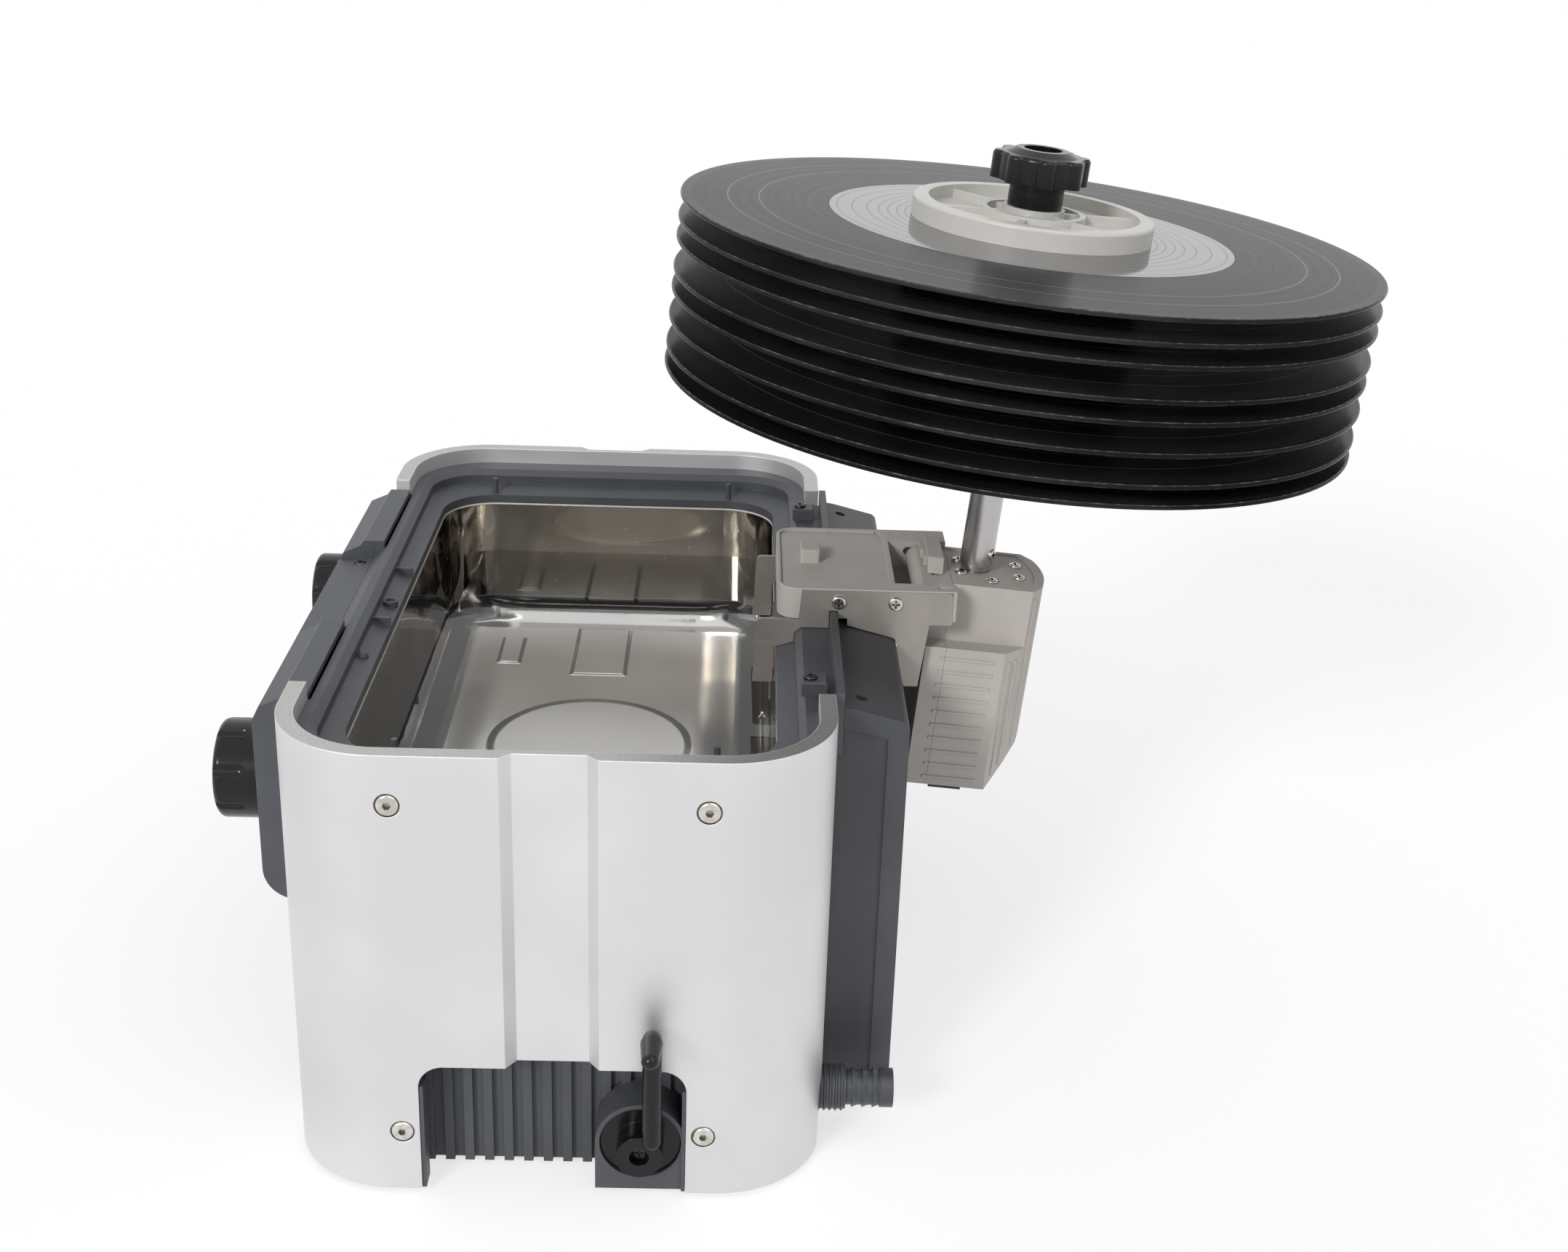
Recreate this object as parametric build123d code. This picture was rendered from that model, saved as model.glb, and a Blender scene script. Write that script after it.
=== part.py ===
from build123d import *
import os
from math import atan2, cos, degrees, pi, radians, sin, sqrt

# A bench-top record cleaning machine: an ultrasonic tank between two aluminium end shells,
# with a clip-on arm that turns a stack of records and tips them into the tank.
#
# Millimetres, +Z up. While the parts are modelled, x = 0 and y = 0 are the middle of the tank
# body and z = 0 is the lower edge of its shells. +X points to the arm side, -X to the knobs,
# and -Y to the end with the drain lever. The last lines move everything so that the origin is
# the bottom centre of the whole machine's box, on the table.

# ---------------------------------------------------------------- fits
seat_gap = 0.3            # between pieces of different bodies, or lids in their recesses
run_gap = 0.05            # radial clearance of a shaft in its bore
push_gap = 0.1            # fixed piece pushed into its pocket

# ---------------------------------------------------------------- aluminium end shells
shell_half_width = 109.3
shell_end_y = 192.6
shell_arm_length = 64.8   # how far each shell reaches along the sides
shell_arm_end_y = shell_end_y - shell_arm_length
shell_height = 195.3
shell_corner_r = 44.0
shell_wall = 7.0
band_outer_half = 18.6    # pressed-in vertical band, at the surface
band_inner_half = 14.2    # the same, at its floor
band_depth = 4.3
grip_half = 53.3          # hand-grip cut-out
grip_top = 58.5
grip_corner_r = 10.0
grip_band_rise = 1.2      # the cut-out's edge is this much higher on the band
shell_screw_x = 60.3
shell_screw_low_z = 27.6
shell_screw_high_z = shell_height - 20.8
shell_screw_r = 2.5
shell_screw_length = 14.0
button_head_r = 4.6
button_head_h = 2.6
counterbore_gap = 0.35
counterbore_depth = 2.0
hex_socket_r = 1.7

# ---------------------------------------------------------------- bezel round the tank
lip_top = shell_height - 7.9
lip_width_x = 15.0        # from the shell's outside to the step down to the ledge
lip_width_y = 21.6
lip_half_x = shell_half_width - lip_width_x
lip_half_y = shell_end_y - lip_width_y
lip_corner_r = 24.0
lip_chamfer_x = 3.0
lip_chamfer_z = 2.6
ledge_width_x = 8.0
ledge_width_y = 12.7
ledge_outer_z = lip_top - 6.9
ledge_inner_z = ledge_outer_z - 2.4
opening_half_x = lip_half_x - ledge_width_x     # tank opening
opening_half_y = lip_half_y - ledge_width_y
opening_corner_r = 26.0
bezel_bottom = lip_top - 19.4
bezel_wall = 2.6
fin_x = shell_half_width + seat_gap             # upright fin on the arm side
fin_thickness = 3.3
fin_top = lip_top + 8.3
front_seam_x = shell_half_width - 2.1           # seam between bezel and control casing
front_seam_z = lip_top - 5.4
front_ramp_x = front_seam_x - 6.0               # where the lip becomes flat again
pin_x = 62.3
pin_y = opening_half_y + 2.3
pin_r = 1.6
pin_top = lip_top - 0.6
ledge_rib_ys = (34.0, -28.0)
ledge_rib_thickness = 1.2
ledge_rib_top = ledge_outer_z + 2.1
ledge_tube_y = -5.0
ledge_tube_r = 3.4
ledge_nub_y = -66.0
hinge_block_x = lip_half_x + 1.5
hinge_block_width = 10.6
hinge_block_y = 103.0
hinge_block_length = 9.8
hinge_block_height = 6.0
hinge_screw_x = hinge_block_x + 3.6

# ---------------------------------------------------------------- cabinet inside the shells
cabinet_wall = 2.6
grip_pocket_depth = 11.7  # from the cabinet's end face to the crests of the ribbed wall
grip_pocket_top = grip_top + 15.5
grip_rib_pitch = 8.1
grip_rib_width = 3.8
grip_rib_depth = 2.6
grip_lining = 1.6
screw_boss_r = 6.0
screw_boss_length = 9.0
tank_shelf = 3.0
base_thickness = 2.5
base_bottom = 0.6
foot_x = shell_half_width - 27.3
foot_y = shell_end_y - 32.6
foot_r = 9.0
foot_proud = 2.2          # feet stand this much below the shells
vent_count = 9
vent_pitch = 9.0
vent_width = 3.0
vent_length = 60.0
vent_y = 72.0

# ---------------------------------------------------------------- tank
tank_sheet = 1.0
tank_flange = 8.0
tank_floor_z = 59.0
tank_draft = 4.0          # each wall leans in by this much at the floor
tank_floor_r = 14.0
emboss = 1.2
ring_r = 47.0             # round panel pressed up in the floor
panel_x = -1.5            # long panel
panel_y = opening_half_y - 53.3
panel_width = 27.0
panel_length = 56.0
label_x = -48.5           # short panel
label_y = panel_y - 1.0
label_width = 11.0
label_length = 31.0
outlet_y = 27.0
outlet_z = tank_floor_z + 11.0
outlet_r = 4.0
gasket_h = 0.8
transducer_r = 19.0
transducer_y = 92.0
transducer_x = 42.0
transducer_places = ((0.0, transducer_y), (transducer_x, 0.0), (0.0, -transducer_y))
heater_thickness = 1.5
heater_width = 44.0
heater_length = 84.0
heater_x = -24.0
heater_y = 0.0
board_width = 90.0
board_length = 48.0
board_y = shell_end_y - 51.6
board_thickness = 1.6
board_post_h = 8.0

# ---------------------------------------------------------------- drain
drain_x = 34.9            # axis of the lever and its stem
drain_z = 22.3
spout_y = 43.6 - shell_end_y
pipe_r = 5.5
pipe_wall = 1.2
pipe_drop_x = shell_half_width - 16.7
pipe_cross_x = -27.0
pipe_bend_r = 6.1
valve_r = 11.5
valve_half = 20.0
ball_r = 8.5
drain_bore_r = 4.5
stem_r = 3.5
spout_r = 7.4
spout_tip_r = 8.2         # plain end that the hose pushes over
spout_tip_length = 5.6
thread_r = 9.2
thread_start_x = shell_half_width - 5.3
thread_end_x = shell_half_width + 10.1
barb_rise = 1.0
barb_length = 2.6
barb_xs = (thread_end_x + 5.4, thread_end_x + 9.8, thread_end_x + 14.2)
spout_tip_x = thread_end_x + 20.2
spout_slot_half = 10.4
housing_half = 18.3
housing_face_y = 2.2 - shell_end_y
housing_back_y = housing_face_y + 19.4
disc_r = 16.2
disc_face_y = housing_face_y + 1.4
disc_thickness = 2.6
hub_r = 9.4
hub_face_y = housing_face_y - 9.4
hub_recess_r = 4.0
hub_recess_depth = 5.0
rod_r = 3.9
rod_x = drain_x + 5.0
rod_y = hub_face_y - 0.2
rod_low_z = drain_z + 4.7
rod_top_z = drain_z + 58.6
rod_bend_r = 5.0
spigot_r = 2.3
spigot_end_y = rod_y - 14.0
grip_start_y = rod_y - 6.6
grip_end_y = grip_start_y - 14.5
grip_start_r = 4.45
grip_end_r = 3.5

# ---------------------------------------------------------------- control casing (-X)
casing_end_y = shell_arm_end_y - seat_gap
casing_wall = 2.6
front_face_x = shell_half_width + 16.2
front_skirt_x = shell_half_width
front_low_z = 97.5
front_low_r = 14.0
front_high_z = lip_top - 10.4
front_shoulder_x = front_face_x - 3.2
front_shoulder_z = lip_top - 3.8
front_block_x = shell_half_width + 2.7
front_block_z = lip_top + 2.6
cover_half = 50.0         # flush cover plate between the corner blocks
cover_drop_z = front_seam_z - 1.8
cover_thickness = 2.2
cover_screw_y = 42.6
knob_y = casing_end_y - 28.0
knob_z = front_high_z - 34.9
knob_r = 21.0
knob_front_x = front_face_x + 20.5
knob_edge_r = 3.0
knob_flutes = 8
flute_r = 3.8
flute_depth = 1.3
flute_length = 11.0
control_shaft_r = 3.0
control_shaft_length = 10.0     # from the knob's back into its switch
control_bush_r = 4.5
control_bush_h = 3.0
control_body = 26.0
control_body_depth = 12.0

# ---------------------------------------------------------------- rear casing (+X)
rear_face_x = shell_half_width + 30.5
rear_crest_x = fin_x + fin_thickness + 4.4
rear_crest_z = lip_top + 1.2
rear_shoulder_x = rear_face_x - 3.0
rear_shoulder_z = rear_crest_z - 5.0
rear_shoulder_r = 4.0
rear_bottom = 4.0
rear_recess_margin = 8.6
rear_recess_depth = 1.6
recess_shoulder_z = rear_crest_z - 13.1
recess_crest_z = rear_crest_z - 5.4
rear_hole_x = rear_crest_x + 3.1
rear_hole_y = casing_end_y - 13.4
rear_hole_r = 2.6
inlet_y = 78.0
inlet_z = 40.0
inlet_width = 27.4
inlet_height = 20.0
socket_depth = 14.0
rocker_z = 74.0
rocker_width = 21.0
rocker_height = 15.0

# ---------------------------------------------------------------- bridge of the arm
plate_thickness = 1.2
bridge_half = 40.0        # to the outer faces of the side plates
bridge_left_x = opening_half_x
bridge_right_x = rear_face_x + 26.0
bridge_top = lip_top + 18.9
bridge_bottom = bridge_top - 14.3
bridge_wall = 2.4
bridge_corner_r = 9.0
bridge_rim = 3.2          # width of the rim round the recessed top
rim_left = 1.6
lid_drop = 0.8            # depth of the recessed top
slot_left_x = bridge_right_x - 27.3
slot_near_y = -31.0
slot_far_y = 24.8
slot_rim = 2.2
tab_width = 4.8           # snap tabs along the recessed top
tab_depth = 1.4
tab_xs = (slot_left_x - 25.3, slot_left_x - 3.4)
boss_x = bridge_left_x + 15.1
boss_width = 9.0
boss_length = 12.2
boss_height = 6.4
plate_top_z = bridge_top - lid_drop
plate_right_x = bridge_right_x - 1.8
plate_right_z = bridge_bottom - 1.8
plate_left_top_x = bridge_left_x + 11.0         # the plate's left edge, up beside the cover
plate_left_low_x = plate_left_top_x - 1.2
leg_inner_x = rear_face_x + 4.3
leg_outer_x = rear_face_x + 10.5
leg_top_x = rear_face_x + 14.2
leg_bottom_z = bridge_bottom - 31.6
leg_knee_z = bridge_bottom - 18.0
hook_width = 9.0          # the tongue that hangs into the tank
hook_right_x = opening_half_x - 1.2
hook_bottom_z = bridge_bottom - 31.0
hook_top_z = bridge_bottom - 0.3
hook_lean = 1.6
notch_width = 4.2         # relief beside the fin
notch_rise = 4.8
plate_screw_xs = (fin_x + 3.7, slot_left_x)
plate_screw_z = bridge_top - 6.1
detent_x = slot_left_x + 11.0
detent_r = 2.0

# ---------------------------------------------------------------- motor box and spindle
lean = 4.75               # the spindle leans outwards by this angle, degrees
spindle_base_x = rear_face_x + 37.7
spindle_base_z = bridge_top - 3.7
pivot_x = rear_face_x + 12.7
pivot_z = bridge_top - 7.3
pivot_r = 2.0
box_left = -21.9          # in the box's own axes: u across, w along the spindle
box_tip = 31.6            # the rounded end
box_end_u = 28.6          # where the rounded end starts
box_end_y = 18.0
upper_half = 24.4         # half width in y of the box's upper part
upper_flat_right = 24.0
lower_half = 34.7
lower_flat_right = 14.5
knee_out = 1.5            # the two lower facets meet this far outside the upper part
lower_knee_y = upper_half + knee_out
lower_knee_u = box_end_u - ((box_end_u - upper_flat_right) * (lower_knee_y - box_end_y)
                            / (upper_half - box_end_y))
box_rim = 0.6             # the rim stands this much above the cap
box_wall = 2.4
ledge_w = -26.5
box_bottom_w = -95.0
box_cut_w = -72.0
box_cut_u = 15.0
knuckle_r = 5.0
knuckle_near_y = -30.6
knuckle_far_y = 24.4
knuckle_top_left = -25.9
catch_u = -19.7           # thumb catch on top of the knuckle
catch_width = 7.0
catch_height = 6.4
catch_near_y = -13.0
catch_far_y = 19.6
catch_slope = 4.0
catch_step = 2.2          # wedge steps on the catch's left
catch_travel = 3.0
gearbox_u = 6.0           # the spindle is this far off the gearbox centre
gearbox_r = 18.5
gearbox_h = 22.0
motor_r = 17.5
motor_h = 31.0
cap_thickness = 2.4
cap_left = -12.4          # here the two halves of the housing meet
cap_rim = 4.4             # width of the rim round the cap, at the rounded end
cap_side_rim = 2.4
cap_screw_circle_r = 15.5
cap_screw_count = 6
rib_count = 10
rib_first_w = -31.5
rib_pitch = 6.6
rib_left = -14.5
rib_length = 24.5
rib_height = 0.6
rib_width = 1.3
jack_width = 15.0
jack_length = 13.0
jack_u = -3.0
jack_y = -25.5
jack_proud = 2.5
spindle_r = 3.55
sleeve_r = 7.6
sleeve_neck_r = 6.7
sleeve_neck_h = 2.6
sleeve_screw_w = 9.4
sleeve_screw_angle = -40.0

# ---------------------------------------------------------------- records and clamp
record_r = 151.0
record_thickness = 1.9
record_hole_r = 3.6
stack_top_w = 158.0       # upper face of the top record, above the motor box
record_steps = (9.5, 8.5, 13.3, 8.5, 12.2, 12.5, 8.0)
support_hub_h = 9.6       # the lowest disc stands this high on the sleeve
sleeve_top_w = stack_top_w - sum(record_steps) - record_thickness - support_hub_h
seal_r = 52.0
seal_rim = 5.0
seal_web = 2.4
seal_hub_r = 11.0
clamp_h = 9.0
clamp_rim = 6.5
clamp_floor = 3.4
clamp_ring_r = 20.0
clamp_ring_wall = 2.6
clamp_spokes = 6
clamp_spoke_width = 2.6
knob_stem_r = 11.8
knob_stem_h = 10.5
lobe_r = 21.0
lobe_valley_r = 18.6
lobe_count = 8
lobe_h = 11.5
star_recess_r = 8.3
star_recess_depth = 3.5

parts = {}
small_screws = []


# ---------------------------------------------------------------- helpers
def rounded(half_x, half_y, r, z):
    """A rounded rectangle about the z axis, at height z."""
    return Pos(0, 0, z) * RectangleRounded(2 * half_x, 2 * half_y, r)


def block(x0, x1, y0, y1, z0, z1):
    return Pos((x0 + x1) / 2, (y0 + y1) / 2, (z0 + z1) / 2) * Box(x1 - x0, y1 - y0, z1 - z0)


def rod_x_axis(r, x0, x1, y, z):
    return Pos((x0 + x1) / 2, y, z) * Rot(0, 90, 0) * Cylinder(r, x1 - x0)


def rod_y_axis(r, x, y0, y1, z):
    return Pos(x, (y0 + y1) / 2, z) * Rot(90, 0, 0) * Cylinder(r, y1 - y0)


def rod_z_axis(r, x, y, z0, z1):
    return Pos(x, y, (z0 + z1) / 2) * Cylinder(r, z1 - z0)


def prism_y(points, y0, y1):
    """A polygon of (x, z) points, pulled from y0 to y1."""
    outline = Plane.XZ * make_face(Polyline(*points, close=True))
    return Pos(0, y1, 0) * extrude(outline, y1 - y0)


def prism_x(points, x0, x1):
    """A polygon of (y, z) points, pulled from x0 to x1."""
    outline = Plane.YZ * make_face(Polyline(*points, close=True))
    return Pos(x0, 0, 0) * extrude(outline, x1 - x0)


def mirrored_y(shape):
    return mirror(shape, Plane.XZ)


def screw_row(r, head_r, head_h, length, socket):
    """A screw standing up: shank below z = 0, domed head above, with a driver recess."""
    head = extrude(Circle(head_r), head_h)
    head = fillet(head.edges().group_by(Axis.Z)[-1], head_h * 0.6)
    recess = extrude(socket, -head_h * 0.6)
    return head + rod_z_axis(r, 0, 0, -length, 0) - Pos(0, 0, head_h) * recess


def cross_recess(size):
    return Rectangle(size, size * 0.28) + Rectangle(size * 0.28, size)


def pan_screw(r, head_r, head_h, length):
    return screw_row(r, head_r, head_h, length, cross_recess(head_r * 1.15))


# ---------------------------------------------------------------- end shells
def shell_half():
    """The near shell: a U in plan, with its band, grip cut-out and screw holes."""
    ring = rounded(shell_half_width, shell_end_y, shell_corner_r, 0)
    ring -= rounded(shell_half_width - shell_wall, shell_end_y - shell_wall,
                    shell_corner_r - shell_wall, 0)
    shell = extrude(ring, shell_height)
    shell &= block(-shell_half_width, shell_half_width, -shell_end_y, -shell_arm_end_y,
                   0, shell_height)
    y_face = -shell_end_y
    band = Polyline((-band_outer_half, y_face), (-band_inner_half, y_face + band_depth),
                    (band_inner_half, y_face + band_depth), (band_outer_half, y_face), close=True)
    shell -= extrude(make_face(band), shell_height)
    cut = prism_y([(-grip_half, -1), (grip_half, -1), (grip_half, grip_top),
                   (-grip_half, grip_top)], y_face - 1, y_face + shell_wall + 1)
    corners = cut.edges().filter_by(Axis.Y).group_by(Axis.Z)[-1]
    cut = fillet(corners, grip_corner_r)
    cut += prism_y([(-band_outer_half, grip_top - 1), (-band_outer_half, grip_top),
                    (-band_inner_half, grip_top + grip_band_rise),
                    (band_inner_half, grip_top + grip_band_rise), (band_outer_half, grip_top),
                    (band_outer_half, grip_top - 1)], y_face - 1, y_face + shell_wall + 1)
    shell -= cut
    for x in (-shell_screw_x, shell_screw_x):
        for z in (shell_screw_low_z, shell_screw_high_z):
            shell -= rod_y_axis(shell_screw_r + push_gap, x, y_face - 1, y_face + shell_wall + 1, z)
            shell -= rod_y_axis(button_head_r + counterbore_gap, x, y_face - 1,
                                y_face + counterbore_depth, z)
    return shell


def spout_slot(x0, x1):
    """Slot, open below, that the drain spout passes through."""
    slot = rod_x_axis(spout_slot_half, x0, x1, spout_y, drain_z)
    return slot + block(x0, x1, spout_y - spout_slot_half, spout_y + spout_slot_half, -5, drain_z)


def make_shells():
    parts["far_shell"] = mirrored_y(shell_half())
    parts["near_shell"] = shell_half() - spout_slot(shell_half_width - shell_wall - 5,
                                                    shell_half_width + 1)
    screw = screw_row(shell_screw_r, button_head_r, button_head_h, shell_screw_length,
                      RegularPolygon(hex_socket_r, 6))
    seat_y = -shell_end_y + counterbore_depth
    screws = []
    for x in (-shell_screw_x, shell_screw_x):
        for z in (shell_screw_low_z, shell_screw_high_z):
            one = Pos(x, seat_y, z) * Rot(90, 0, 0) * screw
            screws += [one, mirrored_y(one)]
    parts["shell_screws"] = Compound(children=screws)


def with_screw_bosses(shape, z):
    """Bosses and screw holes for the four shell screws at one height."""
    tip = shell_end_y - counterbore_depth - shell_screw_length - 0.5
    for x in (-shell_screw_x, shell_screw_x):
        boss = rod_y_axis(screw_boss_r, x, -inner_half_y + 1, -inner_half_y + screw_boss_length, z)
        hole = rod_y_axis(shell_screw_r + push_gap, x, -shell_end_y, -tip, z)
        shape = shape + boss + mirrored_y(boss) - hole - mirrored_y(hole)
    return shape


# ---------------------------------------------------------------- bezel
inner_half_x = shell_half_width - shell_wall - push_gap
inner_half_y = shell_end_y - shell_wall - push_gap
inner_corner_r = shell_corner_r - shell_wall - push_gap


def make_bezel():
    bezel = extrude(rounded(inner_half_x, inner_half_y, inner_corner_r, bezel_bottom),
                    lip_top - bezel_bottom)
    # arm side: the lip runs out to the fin
    bezel += block(inner_half_x - 1, fin_x + fin_thickness, -casing_end_y, casing_end_y,
                   bezel_bottom, lip_top)
    bezel += block(fin_x, fin_x + fin_thickness, -casing_end_y, casing_end_y, lip_top - 1, fin_top)
    # knob side: between the corner blocks the lip ramps down to the seam
    bezel -= block(-inner_half_x - 1, -front_ramp_x, -casing_end_y, casing_end_y,
                   front_seam_z - 4, lip_top + 1)
    bezel += prism_y([(-front_ramp_x + 1, front_seam_z - 4), (-front_ramp_x + 1, lip_top),
                      (-front_ramp_x, lip_top), (-front_seam_x, front_seam_z),
                      (-front_seam_x, front_seam_z - 4)], -cover_half, cover_half)
    # step down to the ledge, with a chamfered edge
    bezel -= extrude(rounded(lip_half_x, lip_half_y, lip_corner_r, ledge_outer_z),
                     lip_top - ledge_outer_z + 1)
    bezel -= loft([rounded(lip_half_x, lip_half_y, lip_corner_r, lip_top - lip_chamfer_z),
                   rounded(lip_half_x + lip_chamfer_x, lip_half_y + lip_chamfer_x,
                           lip_corner_r + lip_chamfer_x, lip_top)])
    # ledge, falling towards the tank
    bezel -= loft([rounded(opening_half_x, opening_half_y, opening_corner_r, ledge_inner_z),
                   rounded(lip_half_x, lip_half_y, lip_corner_r, ledge_outer_z)])
    bezel -= extrude(rounded(opening_half_x, opening_half_y, opening_corner_r, bezel_bottom - 1),
                     lip_top)
    # underside: a hollow between the outer wall and the wall over the tank's flange
    hollow = rounded(inner_half_x - bezel_wall, inner_half_y - bezel_wall,
                     inner_corner_r - bezel_wall, bezel_bottom - 1)
    hollow -= rounded(opening_half_x + bezel_wall, opening_half_y + bezel_wall,
                      opening_corner_r + bezel_wall, bezel_bottom - 1)
    bezel -= extrude(hollow, ledge_inner_z - bezel_wall - bezel_bottom + 1)
    bezel -= extrude(rounded(opening_half_x + bezel_wall + 1, opening_half_y + bezel_wall + 1,
                             opening_corner_r + bezel_wall + 1, bezel_bottom - 1),
                     flange_top + gasket_h - bezel_bottom + 1)
    for x in (-pin_x, pin_x):
        for y in (-pin_y, pin_y):
            foot = ledge_inner_z - 1
            pin = Pos(x, y, foot) * extrude(Circle(pin_r), pin_top - foot, taper=2)
            bezel += pin
    for y in ledge_rib_ys:
        bezel += block(-lip_half_x - 1, -opening_half_x, y - ledge_rib_thickness / 2,
                       y + ledge_rib_thickness / 2, ledge_inner_z - 1, ledge_rib_top)
    tube_x = -(lip_half_x + opening_half_x) / 2
    bezel += rod_z_axis(ledge_tube_r, tube_x, ledge_tube_y, ledge_inner_z - 1, ledge_rib_top - 1)
    bezel -= rod_z_axis(ledge_tube_r - 1, tube_x, ledge_tube_y, ledge_outer_z, ledge_rib_top)
    bezel += Pos(-lip_half_x + 2, ledge_nub_y, ledge_outer_z - 1) * Sphere(3)
    bezel = with_screw_bosses(bezel, shell_screw_high_z)
    parts["bezel"] = bezel


def make_hinge_blocks():
    """Seats for the lid's hinge, screwed on the lip at the arm side."""
    one = block(hinge_block_x, hinge_block_x + hinge_block_width, hinge_block_y,
                hinge_block_y + hinge_block_length, lip_top, lip_top + hinge_block_height)
    one = chamfer(one.edges().group_by(Axis.Z)[-1], 0.5)
    screw_y = hinge_block_y + hinge_block_length / 2
    one -= rod_z_axis(1.5 + push_gap, hinge_screw_x, screw_y, lip_top - 1,
                      lip_top + hinge_block_height + 1)
    notch_x = hinge_block_x + hinge_block_width
    one -= block(notch_x - 3, notch_x + 1, hinge_block_y + 3, hinge_block_y + 7,
                 lip_top - 1, lip_top + 3)
    parts["lid_hinge_blocks"] = Compound(children=[one, mirrored_y(one)])
    screw = Pos(hinge_screw_x, screw_y, lip_top + hinge_block_height) * pan_screw(1.5, 2.9, 1.4, 10)
    small_screws.extend([screw, mirrored_y(screw)])
    for y in (screw_y, -screw_y):
        parts["bezel"] -= rod_z_axis(1.5 + push_gap, hinge_screw_x, y, lip_top - 6, lip_top + 1)


# ---------------------------------------------------------------- tank
flange_top = ledge_inner_z - 5.2
tank_half_x = opening_half_x - 0.5
tank_half_y = opening_half_y - 0.5
tank_corner_r = opening_corner_r - 0.5


def tank_form(grow, floor_z):
    """The tank's inside (grow 0) or outside (grow = sheet), with its drawn floor corners."""
    top = rounded(tank_half_x + grow, tank_half_y + grow, tank_corner_r + grow, flange_top)
    low = rounded(tank_half_x - tank_draft + grow, tank_half_y - tank_draft + grow,
                  tank_corner_r - tank_draft + grow, floor_z)
    form = loft([top, low])
    form = fillet(form.edges().group_by(Axis.Z)[0], tank_floor_r + grow)
    form -= rod_z_axis(ring_r - grow, 0, 0, floor_z - 1, floor_z + emboss)
    for x, y, width, length in ((panel_x, panel_y, panel_width, panel_length),
                                (label_x, label_y, label_width, label_length)):
        form -= Pos(x, y, floor_z - 1) * extrude(
            RectangleRounded(width - 2 * grow, length - 2 * grow, 2), emboss + 1)
    return form


def make_tank():
    tank = tank_form(tank_sheet, tank_floor_z - tank_sheet) - tank_form(0, tank_floor_z)
    flange = rounded(tank_half_x + tank_flange, tank_half_y + tank_flange,
                     tank_corner_r + tank_flange, flange_top - tank_sheet)
    flange -= rounded(tank_half_x + tank_sheet / 2, tank_half_y + tank_sheet / 2,
                      tank_corner_r + tank_sheet / 2, flange_top - tank_sheet)
    tank += extrude(flange, tank_sheet)
    stub_x = tank_half_x - tank_draft
    tank += rod_x_axis(pipe_r, stub_x - 1, pipe_drop_x - pipe_r - 1, outlet_y, outlet_z)
    tank -= tank_form(0, tank_floor_z)
    tank -= rod_x_axis(outlet_r, stub_x - 6, pipe_drop_x + 1, outlet_y, outlet_z)
    parts["tank"] = tank
    seal = rounded(tank_half_x + tank_flange - 1, tank_half_y + tank_flange - 1,
                   tank_corner_r + tank_flange - 1, flange_top)
    seal -= rounded(opening_half_x, opening_half_y, opening_corner_r, flange_top)
    parts["tank_gasket"] = extrude(seal, gasket_h)


def make_tank_fittings():
    under = tank_floor_z - tank_sheet
    stacks = []
    for x, y in transducer_places:
        stack = Pos(x, y, under - 10) * Cone(transducer_r - 5, transducer_r, 20)
        stack += rod_z_axis(transducer_r - 4.5, x, y, under - 31, under - 20)
        stack += rod_z_axis(transducer_r - 2, x, y, under - 40, under - 31)
        stacks.append(stack)
    parts["transducers"] = Compound(children=stacks)
    heater_top = under
    parts["heater_pad"] = block(heater_x - heater_width / 2, heater_x + heater_width / 2,
                                heater_y - heater_length / 2, heater_y + heater_length / 2,
                                heater_top - heater_thickness, heater_top)
    floor = base_bottom + base_thickness
    board_z = floor + board_post_h
    board = block(-board_width / 2, board_width / 2, board_y - board_length / 2,
                  board_y + board_length / 2, board_z, board_z + board_thickness)
    top = board_z + board_thickness
    for x, y, w, d, h in ((-28, -6, 22, 26, 20), (6, 4, 16, 18, 24), (30, -8, 14, 14, 14),
                          (30, 12, 20, 10, 8)):
        board += Pos(x, board_y + y, top + h / 2) * Box(w, d, h)
    parts["driver_board"] = board


# ---------------------------------------------------------------- cabinet and base
def ribbed_wall(y_crest, y_back):
    """The wall behind the grip cut-out: vertical ribs with a groove at the middle."""
    points = [(-grip_half, y_back)]
    count = int(2 * grip_half // grip_rib_pitch) // 2
    crests = [grip_rib_pitch * (k + 0.5) for k in range(-count - 1, count + 1)]
    for c in crests:
        left = max(c - grip_rib_width / 2, -grip_half)
        right = min(c + grip_rib_width / 2, grip_half)
        if right - left > 0.6:
            points += [(left, y_crest + grip_rib_depth), (left, y_crest),
                       (right, y_crest), (right, y_crest + grip_rib_depth)]
    points += [(grip_half, y_back)]
    clean = [points[0]]
    for p in points[1:]:
        if abs(p[0] - clean[-1][0]) + abs(p[1] - clean[-1][1]) > 0.01:
            clean.append(p)
    return make_face(Polyline(*clean, close=True))


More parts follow.
